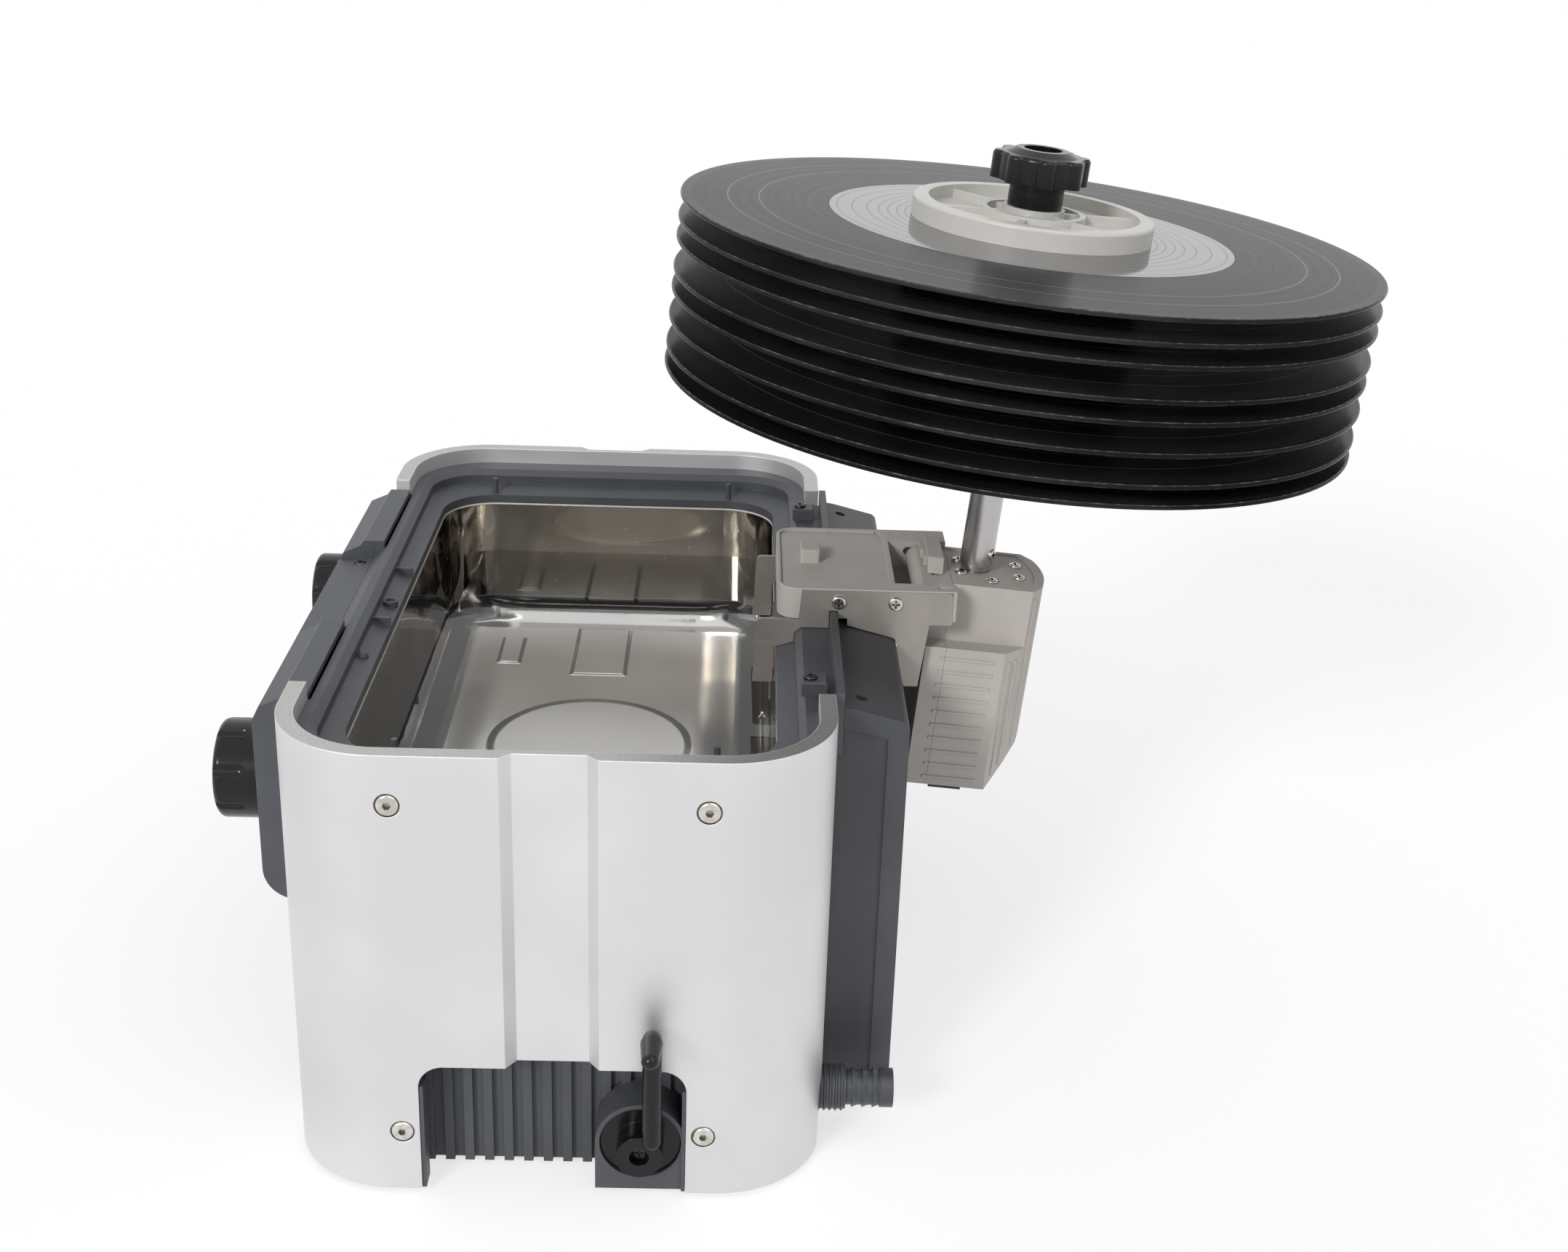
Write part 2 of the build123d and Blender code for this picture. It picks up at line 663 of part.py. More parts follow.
def grip_pocket(sign):
    """Lined pocket in one end of the cabinet. Returns what to cut away and what to add."""
    y_face = -inner_half_y
    y_crest = y_face + grip_pocket_depth
    y_back = y_crest + grip_rib_depth + cabinet_wall
    floor = base_bottom + base_thickness
    cut = block(-grip_half, grip_half, y_face - 1, y_back, -1, grip_pocket_top)
    wall = extrude(ribbed_wall(y_crest, y_back), grip_pocket_top + cabinet_wall)
    outside = grip_half + cabinet_wall
    sides = block(-outside, outside, y_face, y_back, 0, grip_pocket_top + cabinet_wall) - cut
    lining_y = -shell_end_y + 0.8
    flank = grip_half - push_gap
    lining = block(-flank, flank, lining_y, y_face + 0.5, 0, grip_top - grip_corner_r)
    lining -= block(-flank + grip_lining, flank - grip_lining, lining_y - 1, y_face + 2,
                    -1, grip_top)
    lining += block(-grip_half - 0.5, -flank + grip_lining, y_face, y_face + cabinet_wall,
                    0, grip_top - grip_corner_r)
    lining += block(flank - grip_lining, grip_half + 0.5, y_face, y_face + cabinet_wall,
                    0, grip_top - grip_corner_r)
    add = wall + sides + lining
    if sign > 0:
        cut, add = mirrored_y(cut), mirrored_y(add)
    return cut, add


def make_cabinet():
    low = 0.0
    cabinet = extrude(rounded(inner_half_x, inner_half_y, inner_corner_r, low),
                      bezel_bottom - low)
    hollow = rounded(inner_half_x - cabinet_wall, inner_half_y - cabinet_wall,
                     inner_corner_r - cabinet_wall, low - 1)
    cabinet -= extrude(hollow, bezel_bottom - low + 2)
    # shelf that carries the tank's flange
    shelf_top = flange_top - tank_sheet
    shelf_low = bezel_bottom - tank_shelf
    reach = tank_flange + 3
    shelf = extrude(rounded(inner_half_x - 1, inner_half_y - 1, inner_corner_r - 1, shelf_low),
                    tank_shelf)
    shelf += extrude(rounded(tank_half_x + reach, tank_half_y + reach, tank_corner_r + reach,
                             shelf_low), shelf_top - shelf_low)
    shelf -= extrude(rounded(tank_half_x + 2.5, tank_half_y + 2.5, tank_corner_r + 2.5,
                             shelf_low), shelf_top - shelf_low)
    cabinet += shelf
    for sign in (-1, 1):
        cut, add = grip_pocket(sign)
        cabinet = cabinet - cut + add
    cabinet = with_screw_bosses(cabinet, shell_screw_low_z)
    parts["cabinet"] = cabinet


def housing_form(grow):
    """The arched block round the drain valve's handle, standing in the near grip pocket."""
    half = housing_half + grow
    form = rod_y_axis(half, drain_x, housing_face_y - grow, housing_back_y, drain_z)
    return form + block(drain_x - half, drain_x + half, housing_face_y - grow, housing_back_y,
                        -grow, drain_z)


def make_base():
    """Base plate with vents and feet; the cabinet makes room for the drain."""
    low = base_bottom
    base = extrude(rounded(inner_half_x - cabinet_wall - push_gap,
                           inner_half_y - cabinet_wall - push_gap,
                           inner_corner_r - cabinet_wall - push_gap, low), base_thickness)
    pocket_y = inner_half_y - grip_pocket_depth - grip_rib_depth - cabinet_wall - push_gap
    pocket_x = grip_half + cabinet_wall + push_gap
    for s in (-1, 1):
        base -= Pos(0, s * (pocket_y + 20), low) * Box(2 * pocket_x, 40, 20)
    for side in (-1, 1):
        for k in range(vent_count):
            y = side * vent_y + (k - (vent_count - 1) / 2) * vent_pitch
            base -= Pos(-46, y, low) * Box(vent_length, vent_width, 20)
    # bosses of the shell screws reach down beside the pockets
    feet = []
    for x in (-foot_x, foot_x):
        for y in (-foot_y, foot_y):
            foot = rod_z_axis(foot_r, x, y, -foot_proud, low)
            foot = fillet(foot.edges().group_by(Axis.Z)[0], 1)
            foot += rod_z_axis(2.5, x, y, low - 0.5, low + base_thickness)
            foot += rod_z_axis(3.6, x, y, low + base_thickness, low + base_thickness + 1.5)
            feet.append(foot)
            base -= rod_z_axis(2.5, x, y, low - 1, low + base_thickness + 1)
    posts = []
    post_top = low + base_thickness + board_post_h
    for x in (-board_width / 2 + 4, board_width / 2 - 4):
        for y in (board_y - board_length / 2 + 4, board_y + board_length / 2 - 4):
            posts.append(rod_z_axis(3, x, y, low + 1, post_top))
    for post in posts:
        base += post
    parts["base_plate"] = base
    parts["feet"] = Compound(children=feet)
    cabinet = parts["cabinet"] - housing_form(push_gap)
    cabinet -= rod_y_axis(stem_r + 1, drain_x, -inner_half_y, spout_y, drain_z)
    cabinet -= rod_x_axis(thread_r + push_gap, inner_half_x - 6, inner_half_x + 1, spout_y, drain_z)
    parts["cabinet"] = cabinet


# ---------------------------------------------------------------- drain
def swept_tube(points, bend_r, r):
    path = FilletPolyline(*points, radius=bend_r)
    return sweep(Plane(origin=path @ 0, z_dir=path % 0) * Circle(r), path=path)


def make_drain():
    valve_x0 = drain_x - valve_half
    valve_x1 = drain_x + valve_half
    stub_end = pipe_drop_x - pipe_r - 1
    route = [(stub_end, outlet_y, outlet_z), (pipe_drop_x, outlet_y, outlet_z),
             (pipe_drop_x, outlet_y, drain_z), (pipe_cross_x, outlet_y, drain_z),
             (pipe_cross_x, spout_y, drain_z), (valve_x0, spout_y, drain_z)]
    parts["drain_pipe"] = (swept_tube(route, pipe_bend_r, pipe_r)
                           - swept_tube(route, pipe_bend_r, pipe_r - pipe_wall))
    body = rod_x_axis(valve_r, valve_x0, valve_x1, spout_y, drain_z)
    body += rod_y_axis(stem_r + 3, drain_x, spout_y - valve_r - 5, spout_y, drain_z)
    body -= Pos(drain_x, spout_y, drain_z) * Sphere(ball_r + run_gap)
    body -= rod_x_axis(drain_bore_r, valve_x0 - 1, valve_x1 + 1, spout_y, drain_z)
    body -= rod_y_axis(stem_r + run_gap, drain_x, spout_y - valve_r - 6, spout_y, drain_z)
    parts["valve_body"] = body
    ball = Pos(drain_x, spout_y, drain_z) * Sphere(ball_r)
    ball -= rod_z_axis(drain_bore_r, drain_x, spout_y, drain_z - 20, drain_z + 20)
    stem_start = spout_y - ball_r + 1.5
    stem = rod_y_axis(stem_r, drain_x, disc_face_y + 1, stem_start, drain_z)
    parts["valve_ball"] = ball - rod_y_axis(stem_r, drain_x, spout_y - ball_r - 1,
                                            stem_start, drain_z)
    screw_y = hub_face_y + hub_recess_depth
    stem -= rod_y_axis(1.6, drain_x, disc_face_y, disc_face_y + 9, drain_z)
    parts["valve_stem"] = stem
    disc_back = disc_face_y + disc_thickness
    housing = housing_form(0)
    housing -= rod_y_axis(disc_r + seat_gap, drain_x, housing_face_y - 1,
                          disc_back + seat_gap, drain_z)
    housing -= rod_y_axis(stem_r + run_gap, drain_x, housing_face_y, housing_back_y + 1, drain_z)
    parts["valve_housing"] = housing
    lever = rod_y_axis(disc_r, drain_x, disc_face_y, disc_back, drain_z)
    lever += rod_y_axis(hub_r, drain_x, hub_face_y, disc_face_y + 1, drain_z)
    lever += swept_tube([(rod_x, rod_y, rod_low_z + rod_r), (rod_x, rod_y, rod_top_z),
                         (rod_x, grip_start_y, rod_top_z)], rod_bend_r, rod_r)
    lever += Pos(rod_x, rod_y, rod_low_z + rod_r) * Sphere(rod_r)
    lever += rod_y_axis(spigot_r, rod_x, spigot_end_y, grip_start_y + 1, rod_top_z)
    lever -= rod_y_axis(hub_recess_r, drain_x, hub_face_y - 5, screw_y, drain_z)
    lever -= rod_y_axis(1.6, drain_x, screw_y - 1, disc_back + 1, drain_z)
    lever -= rod_y_axis(stem_r, drain_x, disc_face_y + 1, disc_back + 1, drain_z)
    parts["drain_lever"] = lever
    screw = Pos(drain_x, screw_y, drain_z) * Rot(90, 0, 0) * pan_screw(1.5, 3.0, 1.8, 13)
    parts["lever_screw"] = screw
    taper = grip_start_y - grip_end_y - grip_end_r
    grip = extrude(Circle(grip_start_r), taper,
                   taper=degrees(atan2(grip_start_r - grip_end_r, taper)))
    grip = Pos(rod_x, grip_start_y, rod_top_z) * Rot(90, 0, 0) * grip
    grip += Pos(rod_x, grip_end_y + grip_end_r, rod_top_z) * Sphere(grip_end_r)
    parts["lever_grip"] = grip - rod_y_axis(spigot_r, rod_x, spigot_end_y, grip_start_y + 1,
                                            rod_top_z)
    spout = rod_x_axis(spout_r, valve_x1, thread_end_x, spout_y, drain_z)
    spout += rod_x_axis(thread_r, thread_start_x, thread_end_x, spout_y, drain_z)
    nut_x = inner_half_x - cabinet_wall - 8
    spout += rod_x_axis(thread_r + 3, nut_x, nut_x + 5, spout_y, drain_z)
    spout += rod_x_axis(thread_r, nut_x + 1, thread_start_x + 1, spout_y, drain_z)
    spout += rod_x_axis(spout_r, thread_end_x, spout_tip_x, spout_y, drain_z)
    spout += rod_x_axis(spout_tip_r, spout_tip_x - spout_tip_length, spout_tip_x, spout_y, drain_z)
    for x in barb_xs:
        barb = Rot(0, 90, 0) * Cone(spout_r + barb_rise, spout_r - 0.1, barb_length)
        spout += Pos(x - barb_length / 2, spout_y, drain_z) * barb
    spout -= rod_x_axis(drain_bore_r, valve_x1 - 1, spout_tip_x + 1, spout_y, drain_z)
    parts["drain_spout"] = spout


# ---------------------------------------------------------------- control casing
def front_shape(inset, half_y):
    """The control casing's outer form, or the same form set in by its wall."""
    d = inset
    points = [(-inner_half_x - push_gap, d), (-front_skirt_x + d, d),
              (-front_skirt_x + d, front_low_z - 3.0 + d), (-front_face_x + d, front_low_z + d),
              (-front_face_x + d, front_high_z), (-front_shoulder_x + d, front_shoulder_z - d / 2),
              (-front_block_x - 2 + d / 2, front_block_z - 2.7 - d),
              (-front_block_x, front_block_z - d), (-inner_half_x - push_gap, front_block_z - d)]
    shape = prism_y(points, -half_y, half_y)
    low = [e for e in shape.edges().filter_by(Axis.Y)
           if abs(e.center().X + front_face_x - d) < 0.1 and e.center().Z < front_low_z + d + 0.1]
    return fillet(low, front_low_r - d)


def make_front_casing():
    casing = front_shape(0, casing_end_y) - front_shape(casing_wall, casing_end_y - casing_wall)
    # room for the flush cover between the corner blocks
    rim_x = front_face_x - 0.9
    rest_x = rim_x - seat_gap
    fall = (front_seam_z - cover_drop_z) / (rim_x - front_seam_x)
    rest_z = cover_drop_z + fall * seat_gap - cover_thickness
    end_z = front_seam_z - cover_thickness
    seat = [(-front_face_x - 9, front_high_z), (-front_face_x, front_high_z),
            (-rim_x, cover_drop_z), (-rest_x, cover_drop_z), (-rest_x, rest_z),
            (-front_seam_x, end_z), (-inner_half_x + 5, end_z),
            (-inner_half_x + 5, front_block_z + 9), (-front_face_x - 9, front_block_z + 9)]
    casing -= prism_y(seat, -cover_half, cover_half)
    roof_x = front_seam_x + push_gap
    roof = [(-rest_x, rest_z), (-roof_x, end_z), (-roof_x, end_z - casing_wall),
            (-rest_x, rest_z - casing_wall)]
    casing += prism_y(roof, -cover_half - casing_wall, cover_half + casing_wall)
    for s in (-1, 1):
        flank = prism_y([(-front_face_x + 1.4, front_high_z - 3),
                         (-front_shoulder_x + 0.6, front_shoulder_z - 1),
                         (-front_block_x - 2, front_block_z - 3), (-front_block_x, front_block_z),
                         (-inner_half_x - push_gap, front_block_z),
                         (-inner_half_x - push_gap, front_high_z - 3)],
                        cover_half, cover_half + casing_wall)
        casing += flank if s > 0 else mirrored_y(flank)
    # the bezel's ramp comes in here, in front of the cabinet
    casing -= block(-roof_x, -inner_half_x + 5, -cover_half - push_gap, cover_half + push_gap,
                    front_seam_z - 4 - push_gap, front_block_z + 1)
    for y in (-knob_y, knob_y):
        casing -= rod_x_axis(control_bush_r + push_gap, -front_face_x - 1,
                             -front_face_x + casing_wall + 1, y, knob_z)
    edge = cover_half - push_gap
    lift = push_gap * (end_z - rest_z) / (rest_x - roof_x)
    cover = prism_y([(-rest_x + push_gap, rest_z + lift + cover_thickness),
                     (-roof_x, front_seam_z), (-roof_x, end_z),
                     (-rest_x + push_gap, rest_z + lift)], -edge, edge)
    screw_x = -front_block_x - 0.8
    seat_z = front_seam_z - 1.6
    cover -= rod_z_axis(3.0, screw_x, cover_screw_y, seat_z, front_seam_z + 1)
    for_hole = rod_z_axis(1.5 + push_gap, screw_x, cover_screw_y, seat_z - 9, seat_z + 1)
    parts["front_casing"] = casing - for_hole
    parts["panel_cover"] = cover - for_hole
    small_screws.append(Pos(screw_x, cover_screw_y, seat_z) * pan_screw(1.5, 2.6, 1.5, 7))
    parts["cross_head_screws"] = Compound(children=small_screws)


def control_knob(y):
    """A glossy dial knob with scooped flutes, hollow at the back."""
    base_x = front_face_x + seat_gap
    length = knob_front_x - base_x
    knob = extrude(Circle(knob_r), length)
    knob = fillet(knob.edges().group_by(Axis.Z)[-1], knob_edge_r)
    scoop_r = knob_r + flute_r - flute_depth
    scoop = rod_z_axis(flute_r, scoop_r, 0, length - flute_length, length + 1)
    scoop += Pos(scoop_r, 0, length - flute_length) * Sphere(flute_r)
    for k in range(knob_flutes):
        knob -= Rot(0, 0, 360 / knob_flutes * (k + 0.5)) * scoop
    hollow = rod_z_axis(knob_r - 3.4, 0, 0, -1, length - 4)
    hollow -= rod_z_axis(control_bush_r + 2.5, 0, 0, control_bush_h, length)
    knob -= hollow
    knob += rod_z_axis(control_shaft_r, 0, 0, -control_shaft_length, length - 3)
    return Pos(-base_x, y, knob_z) * Rot(0, -90, 0) * knob


def make_controls():
    for y, knob_node, box_node in ((-knob_y, "time_knob", "timer_switch"),
                                   (knob_y, "temperature_knob", "thermostat")):
        parts[knob_node] = control_knob(y)
        inner_x = -front_face_x + casing_wall
        box = block(inner_x, inner_x + control_body_depth, y - control_body / 2,
                    y + control_body / 2, knob_z - control_body / 2, knob_z + control_body / 2)
        box += rod_x_axis(control_bush_r, -front_face_x - seat_gap - control_bush_h + 1.0,
                          inner_x + 1, y, knob_z)
        shaft_end = -front_face_x - seat_gap + control_shaft_length + seat_gap
        box -= rod_x_axis(control_shaft_r + run_gap, -front_face_x - 9, shaft_end, y, knob_z)
        parts[box_node] = box


# ---------------------------------------------------------------- rear casing
def make_rear_casing():
    back_x = inner_half_x + push_gap
    fin_side = fin_x + fin_thickness + push_gap
    slope = (rear_crest_z - rear_shoulder_z) / (rear_shoulder_x - rear_crest_x)
    corner_z = rear_crest_z - slope * (rear_face_x - rear_crest_x)
    under = bezel_bottom - push_gap
    outer = [(back_x, rear_bottom), (rear_face_x, rear_bottom), (rear_face_x, corner_z),
             (rear_crest_x, rear_crest_z), (fin_side, rear_crest_z + 0.7), (fin_side, under),
             (back_x, under)]
    casing = prism_y(outer, -casing_end_y, casing_end_y)
    corner = [e for e in casing.edges().filter_by(Axis.Y)
              if abs(e.center().X - rear_face_x) < 0.1 and e.center().Z > 100]
    casing = fillet(corner, rear_shoulder_r)
    w = casing_wall
    inner = [(back_x - 1, rear_bottom + w), (rear_face_x - w, rear_bottom + w),
             (rear_face_x - w, corner_z - w), (fin_side + w, rear_crest_z - w),
             (fin_side + w, under - w), (back_x - 1, under - w)]
    depth = casing_end_y - rear_recess_depth - w
    casing -= prism_y(inner, -depth, depth)
    edge_x = rear_face_x - rear_recess_margin
    recess = prism_y([(back_x - 1, -1), (edge_x, -1), (edge_x, recess_shoulder_z),
                      (back_x - 1, recess_crest_z)],
                     casing_end_y - rear_recess_depth, casing_end_y + 1)
    casing = casing - recess - mirrored_y(recess)
    for y in (-rear_hole_y, rear_hole_y):
        boss = rod_z_axis(rear_hole_r + 2, rear_hole_x, y, rear_crest_z - 14, rear_crest_z - 3)
        casing += boss
        casing -= rod_z_axis(rear_hole_r, rear_hole_x, y, rear_crest_z - 11, rear_crest_z + 3)
    flange = 3.0
    face = rear_face_x
    casing -= block(face - w - 1, face + 1, inlet_y - inlet_width / 2, inlet_y + inlet_width / 2,
                    inlet_z - inlet_height / 2, inlet_z + inlet_height / 2)
    casing -= block(face - w - 1, face + 1, inlet_y - rocker_width / 2,
                    inlet_y + rocker_width / 2, rocker_z - rocker_height / 2,
                    rocker_z + rocker_height / 2)
    parts["rear_casing"] = casing
    gap = push_gap
    plate = block(face, face + 1.6, inlet_y - inlet_width / 2 - flange,
                  inlet_y + inlet_width / 2 + flange, inlet_z - inlet_height / 2 - flange,
                  inlet_z + inlet_height / 2 + flange)
    plate = fillet(plate.edges().filter_by(Axis.X), 2)
    socket = block(face - 22, face + 0.5, inlet_y - inlet_width / 2 + gap,
                   inlet_y + inlet_width / 2 - gap, inlet_z - inlet_height / 2 + gap,
                   inlet_z + inlet_height / 2 - gap)
    well = prism_x([(inlet_y - 12, inlet_z - 8), (inlet_y + 12, inlet_z - 8),
                    (inlet_y + 12, inlet_z + 3.5), (inlet_y + 8, inlet_z + 8),
                    (inlet_y - 8, inlet_z + 8), (inlet_y - 12, inlet_z + 3.5)],
                   face - socket_depth, face + 3)
    inlet = plate + socket - well
    for y, z in ((-7, -2), (0, 2), (7, -2)):
        inlet += block(face - socket_depth - 1, face - 3, inlet_y + y - 1, inlet_y + y + 1,
                       inlet_z + z - 2, inlet_z + z + 2)
    parts["mains_inlet"] = inlet
    frame = block(face, face + 1.4, inlet_y - rocker_width / 2 - 1.6,
                  inlet_y + rocker_width / 2 + 1.6, rocker_z - rocker_height / 2 - 1.6,
                  rocker_z + rocker_height / 2 + 1.6)
    frame += block(face - 13, face + 0.5, inlet_y - rocker_width / 2 + gap,
                   inlet_y + rocker_width / 2 - gap, rocker_z - rocker_height / 2 + gap,
                   rocker_z + rocker_height / 2 - gap)
    frame -= block(face - 9, face + 3, inlet_y - rocker_width / 2 + 1.6,
                   inlet_y + rocker_width / 2 - 1.6, rocker_z - rocker_height / 2 + 1.5,
                   rocker_z + rocker_height / 2 - 1.5)
    axle_x = face - 3.5
    axle_half = rocker_width / 2 - 0.6
    frame -= rod_y_axis(1.2 + run_gap, axle_x, inlet_y - axle_half - 0.2,
                        inlet_y + axle_half + 0.2, rocker_z)
    parts["switch_frame"] = frame
    half = rocker_height / 2 - 2.9
    rocker = prism_y([(axle_x - 1.6, rocker_z - half + 2), (face + 3.0, rocker_z - half),
                      (face + 1.2, rocker_z), (face + 0.6, rocker_z + half),
                      (axle_x - 1.6, rocker_z + half - 2)],
                     inlet_y - rocker_width / 2 + 1.9, inlet_y + rocker_width / 2 - 1.9)
    rocker += rod_y_axis(1.2, axle_x, inlet_y - axle_half, inlet_y + axle_half, rocker_z)
    parts["rocker"] = rocker


# ---------------------------------------------------------------- bridge
def rounded_corners(plate, corners):
    """Rounds the edges along y at the given (x, z, radius) corners."""
    for x, z, r in corners:
        plate = fillet([e for e in plate.edges().filter_by(Axis.Y)
                        if abs(e.center().X - x) + abs(e.center().Z - z) < 0.05], r)
    return plate


def hanger_plate():
    """The near side plate: it hooks over the tank's edge and the fin, down to a leg."""
    g = seat_gap
    fin0 = fin_x - g
    fin1 = fin_x + fin_thickness + g
    slope = (rear_crest_z - rear_shoulder_z) / (rear_shoulder_x - rear_crest_x)
    knee_x = rear_shoulder_x
    knee_z = rear_crest_z - slope * (knee_x - rear_crest_x) + 1.5 * g
    notch_x = fin1 + notch_width
    hook_left_x = hook_right_x - hook_width
    outline = [(plate_left_top_x, plate_top_z), (plate_right_x, plate_top_z),
               (plate_right_x, plate_right_z), (leg_top_x, plate_right_z),
               (leg_outer_x, leg_bottom_z), (leg_inner_x, leg_bottom_z),
               (rear_face_x + g, leg_knee_z), (rear_face_x + g, knee_z - 4),
               (rear_face_x - 0.9, knee_z - 0.9), (knee_x, knee_z),
               (notch_x, rear_crest_z + 2 * g), (notch_x, rear_crest_z + notch_rise),
               (fin1, rear_crest_z + notch_rise), (fin1, fin_top + g), (fin0, fin_top + g),
               (fin0, lip_top + g), (lip_half_x + lip_chamfer_x - 0.2, lip_top + g),
               (lip_half_x - g, lip_top - lip_chamfer_z + g), (lip_half_x - g, ledge_outer_z + g),
               (hook_right_x, ledge_inner_z + g - 0.4), (hook_right_x, hook_bottom_z),
               (hook_left_x, hook_bottom_z), (hook_left_x + hook_lean, hook_top_z),
               (plate_left_low_x, hook_top_z)]
    plate = prism_y(outline, -bridge_half, -bridge_half + plate_thickness)
    plate = rounded_corners(plate, [(plate_left_top_x, plate_top_z, 1.2),
                                    (plate_right_x, plate_top_z, 2.2),
                                    (plate_right_x, plate_right_z, 1.0),
                                    (leg_outer_x, leg_bottom_z, 0.8),
                                    (leg_inner_x, leg_bottom_z, 0.8),
                                    (notch_x, rear_crest_z + notch_rise, 1.2),
                                    (hook_right_x, hook_bottom_z, 0.8),
                                    (hook_left_x, hook_bottom_z, 0.8),
                                    (hook_left_x + hook_lean, hook_top_z, 1.8)])
    for x in plate_screw_xs:
        plate -= rod_y_axis(1.6 + push_gap, x, -bridge_half - 1, 0, plate_screw_z)
    return plate


def plate_recess(inner):
    """What the cover gives up on its near side, so that the plate lies flush in it."""
    g = push_gap
    y0 = -bridge_half - 1
    recess = prism_y([(bridge_left_x - 1, bridge_bottom - 1), (plate_right_x + g, bridge_bottom - 1),
                      (plate_right_x + g, plate_top_z + g), (plate_left_top_x - g, plate_top_z + g),
                      (plate_left_low_x - g, bridge_bottom), (bridge_left_x - 1, bridge_bottom)],
                     y0, -inner)
    return recess


def make_bridge():
    plate = hanger_plate()
    parts["near_hanger_plate"] = plate
    parts["far_hanger_plate"] = mirrored_y(plate)
    inner = bridge_half - plate_thickness - push_gap
    cover = block(bridge_left_x, bridge_right_x, -bridge_half, bridge_half,
                  bridge_bottom, bridge_top)
    cover = fillet(cover.edges().filter_by(Axis.Z).group_by(Axis.X)[0], bridge_corner_r)
    cover = fillet(cover.edges().filter_by(Axis.Z).group_by(Axis.X)[-1], 1.2)
    cover = fillet(cover.edges().group_by(Axis.Z)[-1], lid_drop * 0.6)
    recess = plate_recess(inner)
    cover = cover - recess - mirrored_y(recess)
    w = bridge_wall
    floor_z = bridge_top - lid_drop
    cover -= block(bridge_left_x + w, slot_left_x - w, -inner + w, inner - w,
                   bridge_bottom - 1, floor_z - w)
    cover -= block(slot_left_x, bridge_right_x + 1, slot_near_y, slot_far_y,
                   bridge_bottom - 1, bridge_top + 1)
    cover -= block(fin_x - seat_gap, fin_x + fin_thickness + seat_gap, -bridge_half, bridge_half,
                   bridge_bottom - 1, fin_top + seat_gap)
    lid_half = bridge_half - bridge_rim
    lid = block(bridge_left_x + rim_left, slot_left_x - slot_rim, -lid_half, lid_half,
                floor_z, bridge_top + 1)
    cover -= fillet(lid.edges().filter_by(Axis.Z), bridge_corner_r - bridge_rim)
    for x in tab_xs:
        for y in (-lid_half + tab_depth / 2, lid_half - tab_depth / 2):
            cover -= Pos(x, y, floor_z) * Box(tab_width, tab_depth, 1.6)
    boss = block(boss_x - boss_width / 2, boss_x + boss_width / 2, -boss_length / 2,
                 boss_length / 2, floor_z - 1, floor_z + boss_height)
    boss = fillet(boss.edges().filter_by(Axis.Z), 1.5)
    cover += fillet(boss.edges().group_by(Axis.Z)[-1], 0.6)
    # detent hole in the slot's far wall, and a notch in the near rim
    for x in (detent_x - 1.5, detent_x + 1.5):
        cover -= rod_y_axis(detent_r, x, slot_far_y - 1, slot_far_y + 4, plate_screw_z + 1)
    cover -= block(detent_x - 1.5, detent_x + 1.5, slot_far_y - 1, slot_far_y + 4,
                   plate_screw_z + 1 - detent_r, plate_screw_z + 1 + detent_r)
    cover -= block(detent_x + 1, detent_x + 6, slot_near_y - 2.2, slot_near_y + 1,
                   bridge_top - 2.4, bridge_top + 1)
    cover -= block(detent_x + 8, detent_x + 14.5, slot_near_y - 5.4, slot_near_y - 2.8,
                   bridge_top - 0.8, bridge_top + 1)
    cover -= rod_y_axis(pivot_r, pivot_x, -inner, inner, pivot_z)
    for x in plate_screw_xs:
        cover -= rod_y_axis(1.6 + push_gap, x, -bridge_half, bridge_half, plate_screw_z)
    parts["bridge_cover"] = cover
    screws = []
    for x in plate_screw_xs:
        one = Pos(x, -bridge_half, plate_screw_z) * Rot(90, 0, 0) * pan_screw(1.6, 3.2, 1.6, 7)
        screws += [one, mirrored_y(one)]
    parts["plate_screws"] = Compound(children=screws)
    parts["pivot_pin"] = rod_y_axis(pivot_r, pivot_x, -inner, inner, pivot_z)


# ---------------------------------------------------------------- motor box
def on_arm(shape):
    """From the arm's own axes (u, y, w) to the machine's."""
    return Pos(spindle_base_x, 0, spindle_base_z) * Rot(0, lean, 0) * shape


def arm_uw(x, z):
    """A point of the machine in the arm's own (u, w)."""
    dx = x - spindle_base_x
    dz = z - spindle_base_z
    c = cos(radians(lean))
    s = sin(radians(lean))
    return c * dx - s * dz, s * dx + c * dz


def round_ended(side, tip, w0, w1):
    """A plate with straight sides given by (u, y) points and a round end through the tip."""
    near = [(u, -y) for u, y in reversed(side)]
    outline = Polyline(*near, *side) + ThreePointArc(side[-1], (tip, 0), near[0])
    return Pos(0, 0, w0) * extrude(make_face(outline), w1 - w0)


def upper_plan(d, w0, w1):
    """The motor box's upper part in plan, set in by d."""
    side = [(box_left + d, upper_half - d), (upper_flat_right - 0.4 * d, upper_half - d),
            (box_end_u - d, box_end_y - 0.4 * d)]
    return round_ended(side, box_tip - d, w0, w1)


def lower_plan(d, w0, w1):
    side = [(box_left + d, lower_half - d), (lower_flat_right - 0.4 * d, lower_half - d),
            (lower_knee_u - 0.7 * d, lower_knee_y - 0.7 * d), (box_end_u - d, box_end_y - 0.4 * d)]
    return round_ended(side, box_tip - d, w0, w1)


def cap_plan(d, w0, w1):
    side = [(cap_left + d, upper_half - cap_side_rim - d),
            (upper_flat_right - cap_side_rim - 0.4 * d, upper_half - cap_side_rim - d),
            (box_end_u - cap_rim - d, box_end_y - 1.2 - 0.4 * d)]
    return round_ended(side, box_tip - cap_rim - d, w0, w1)


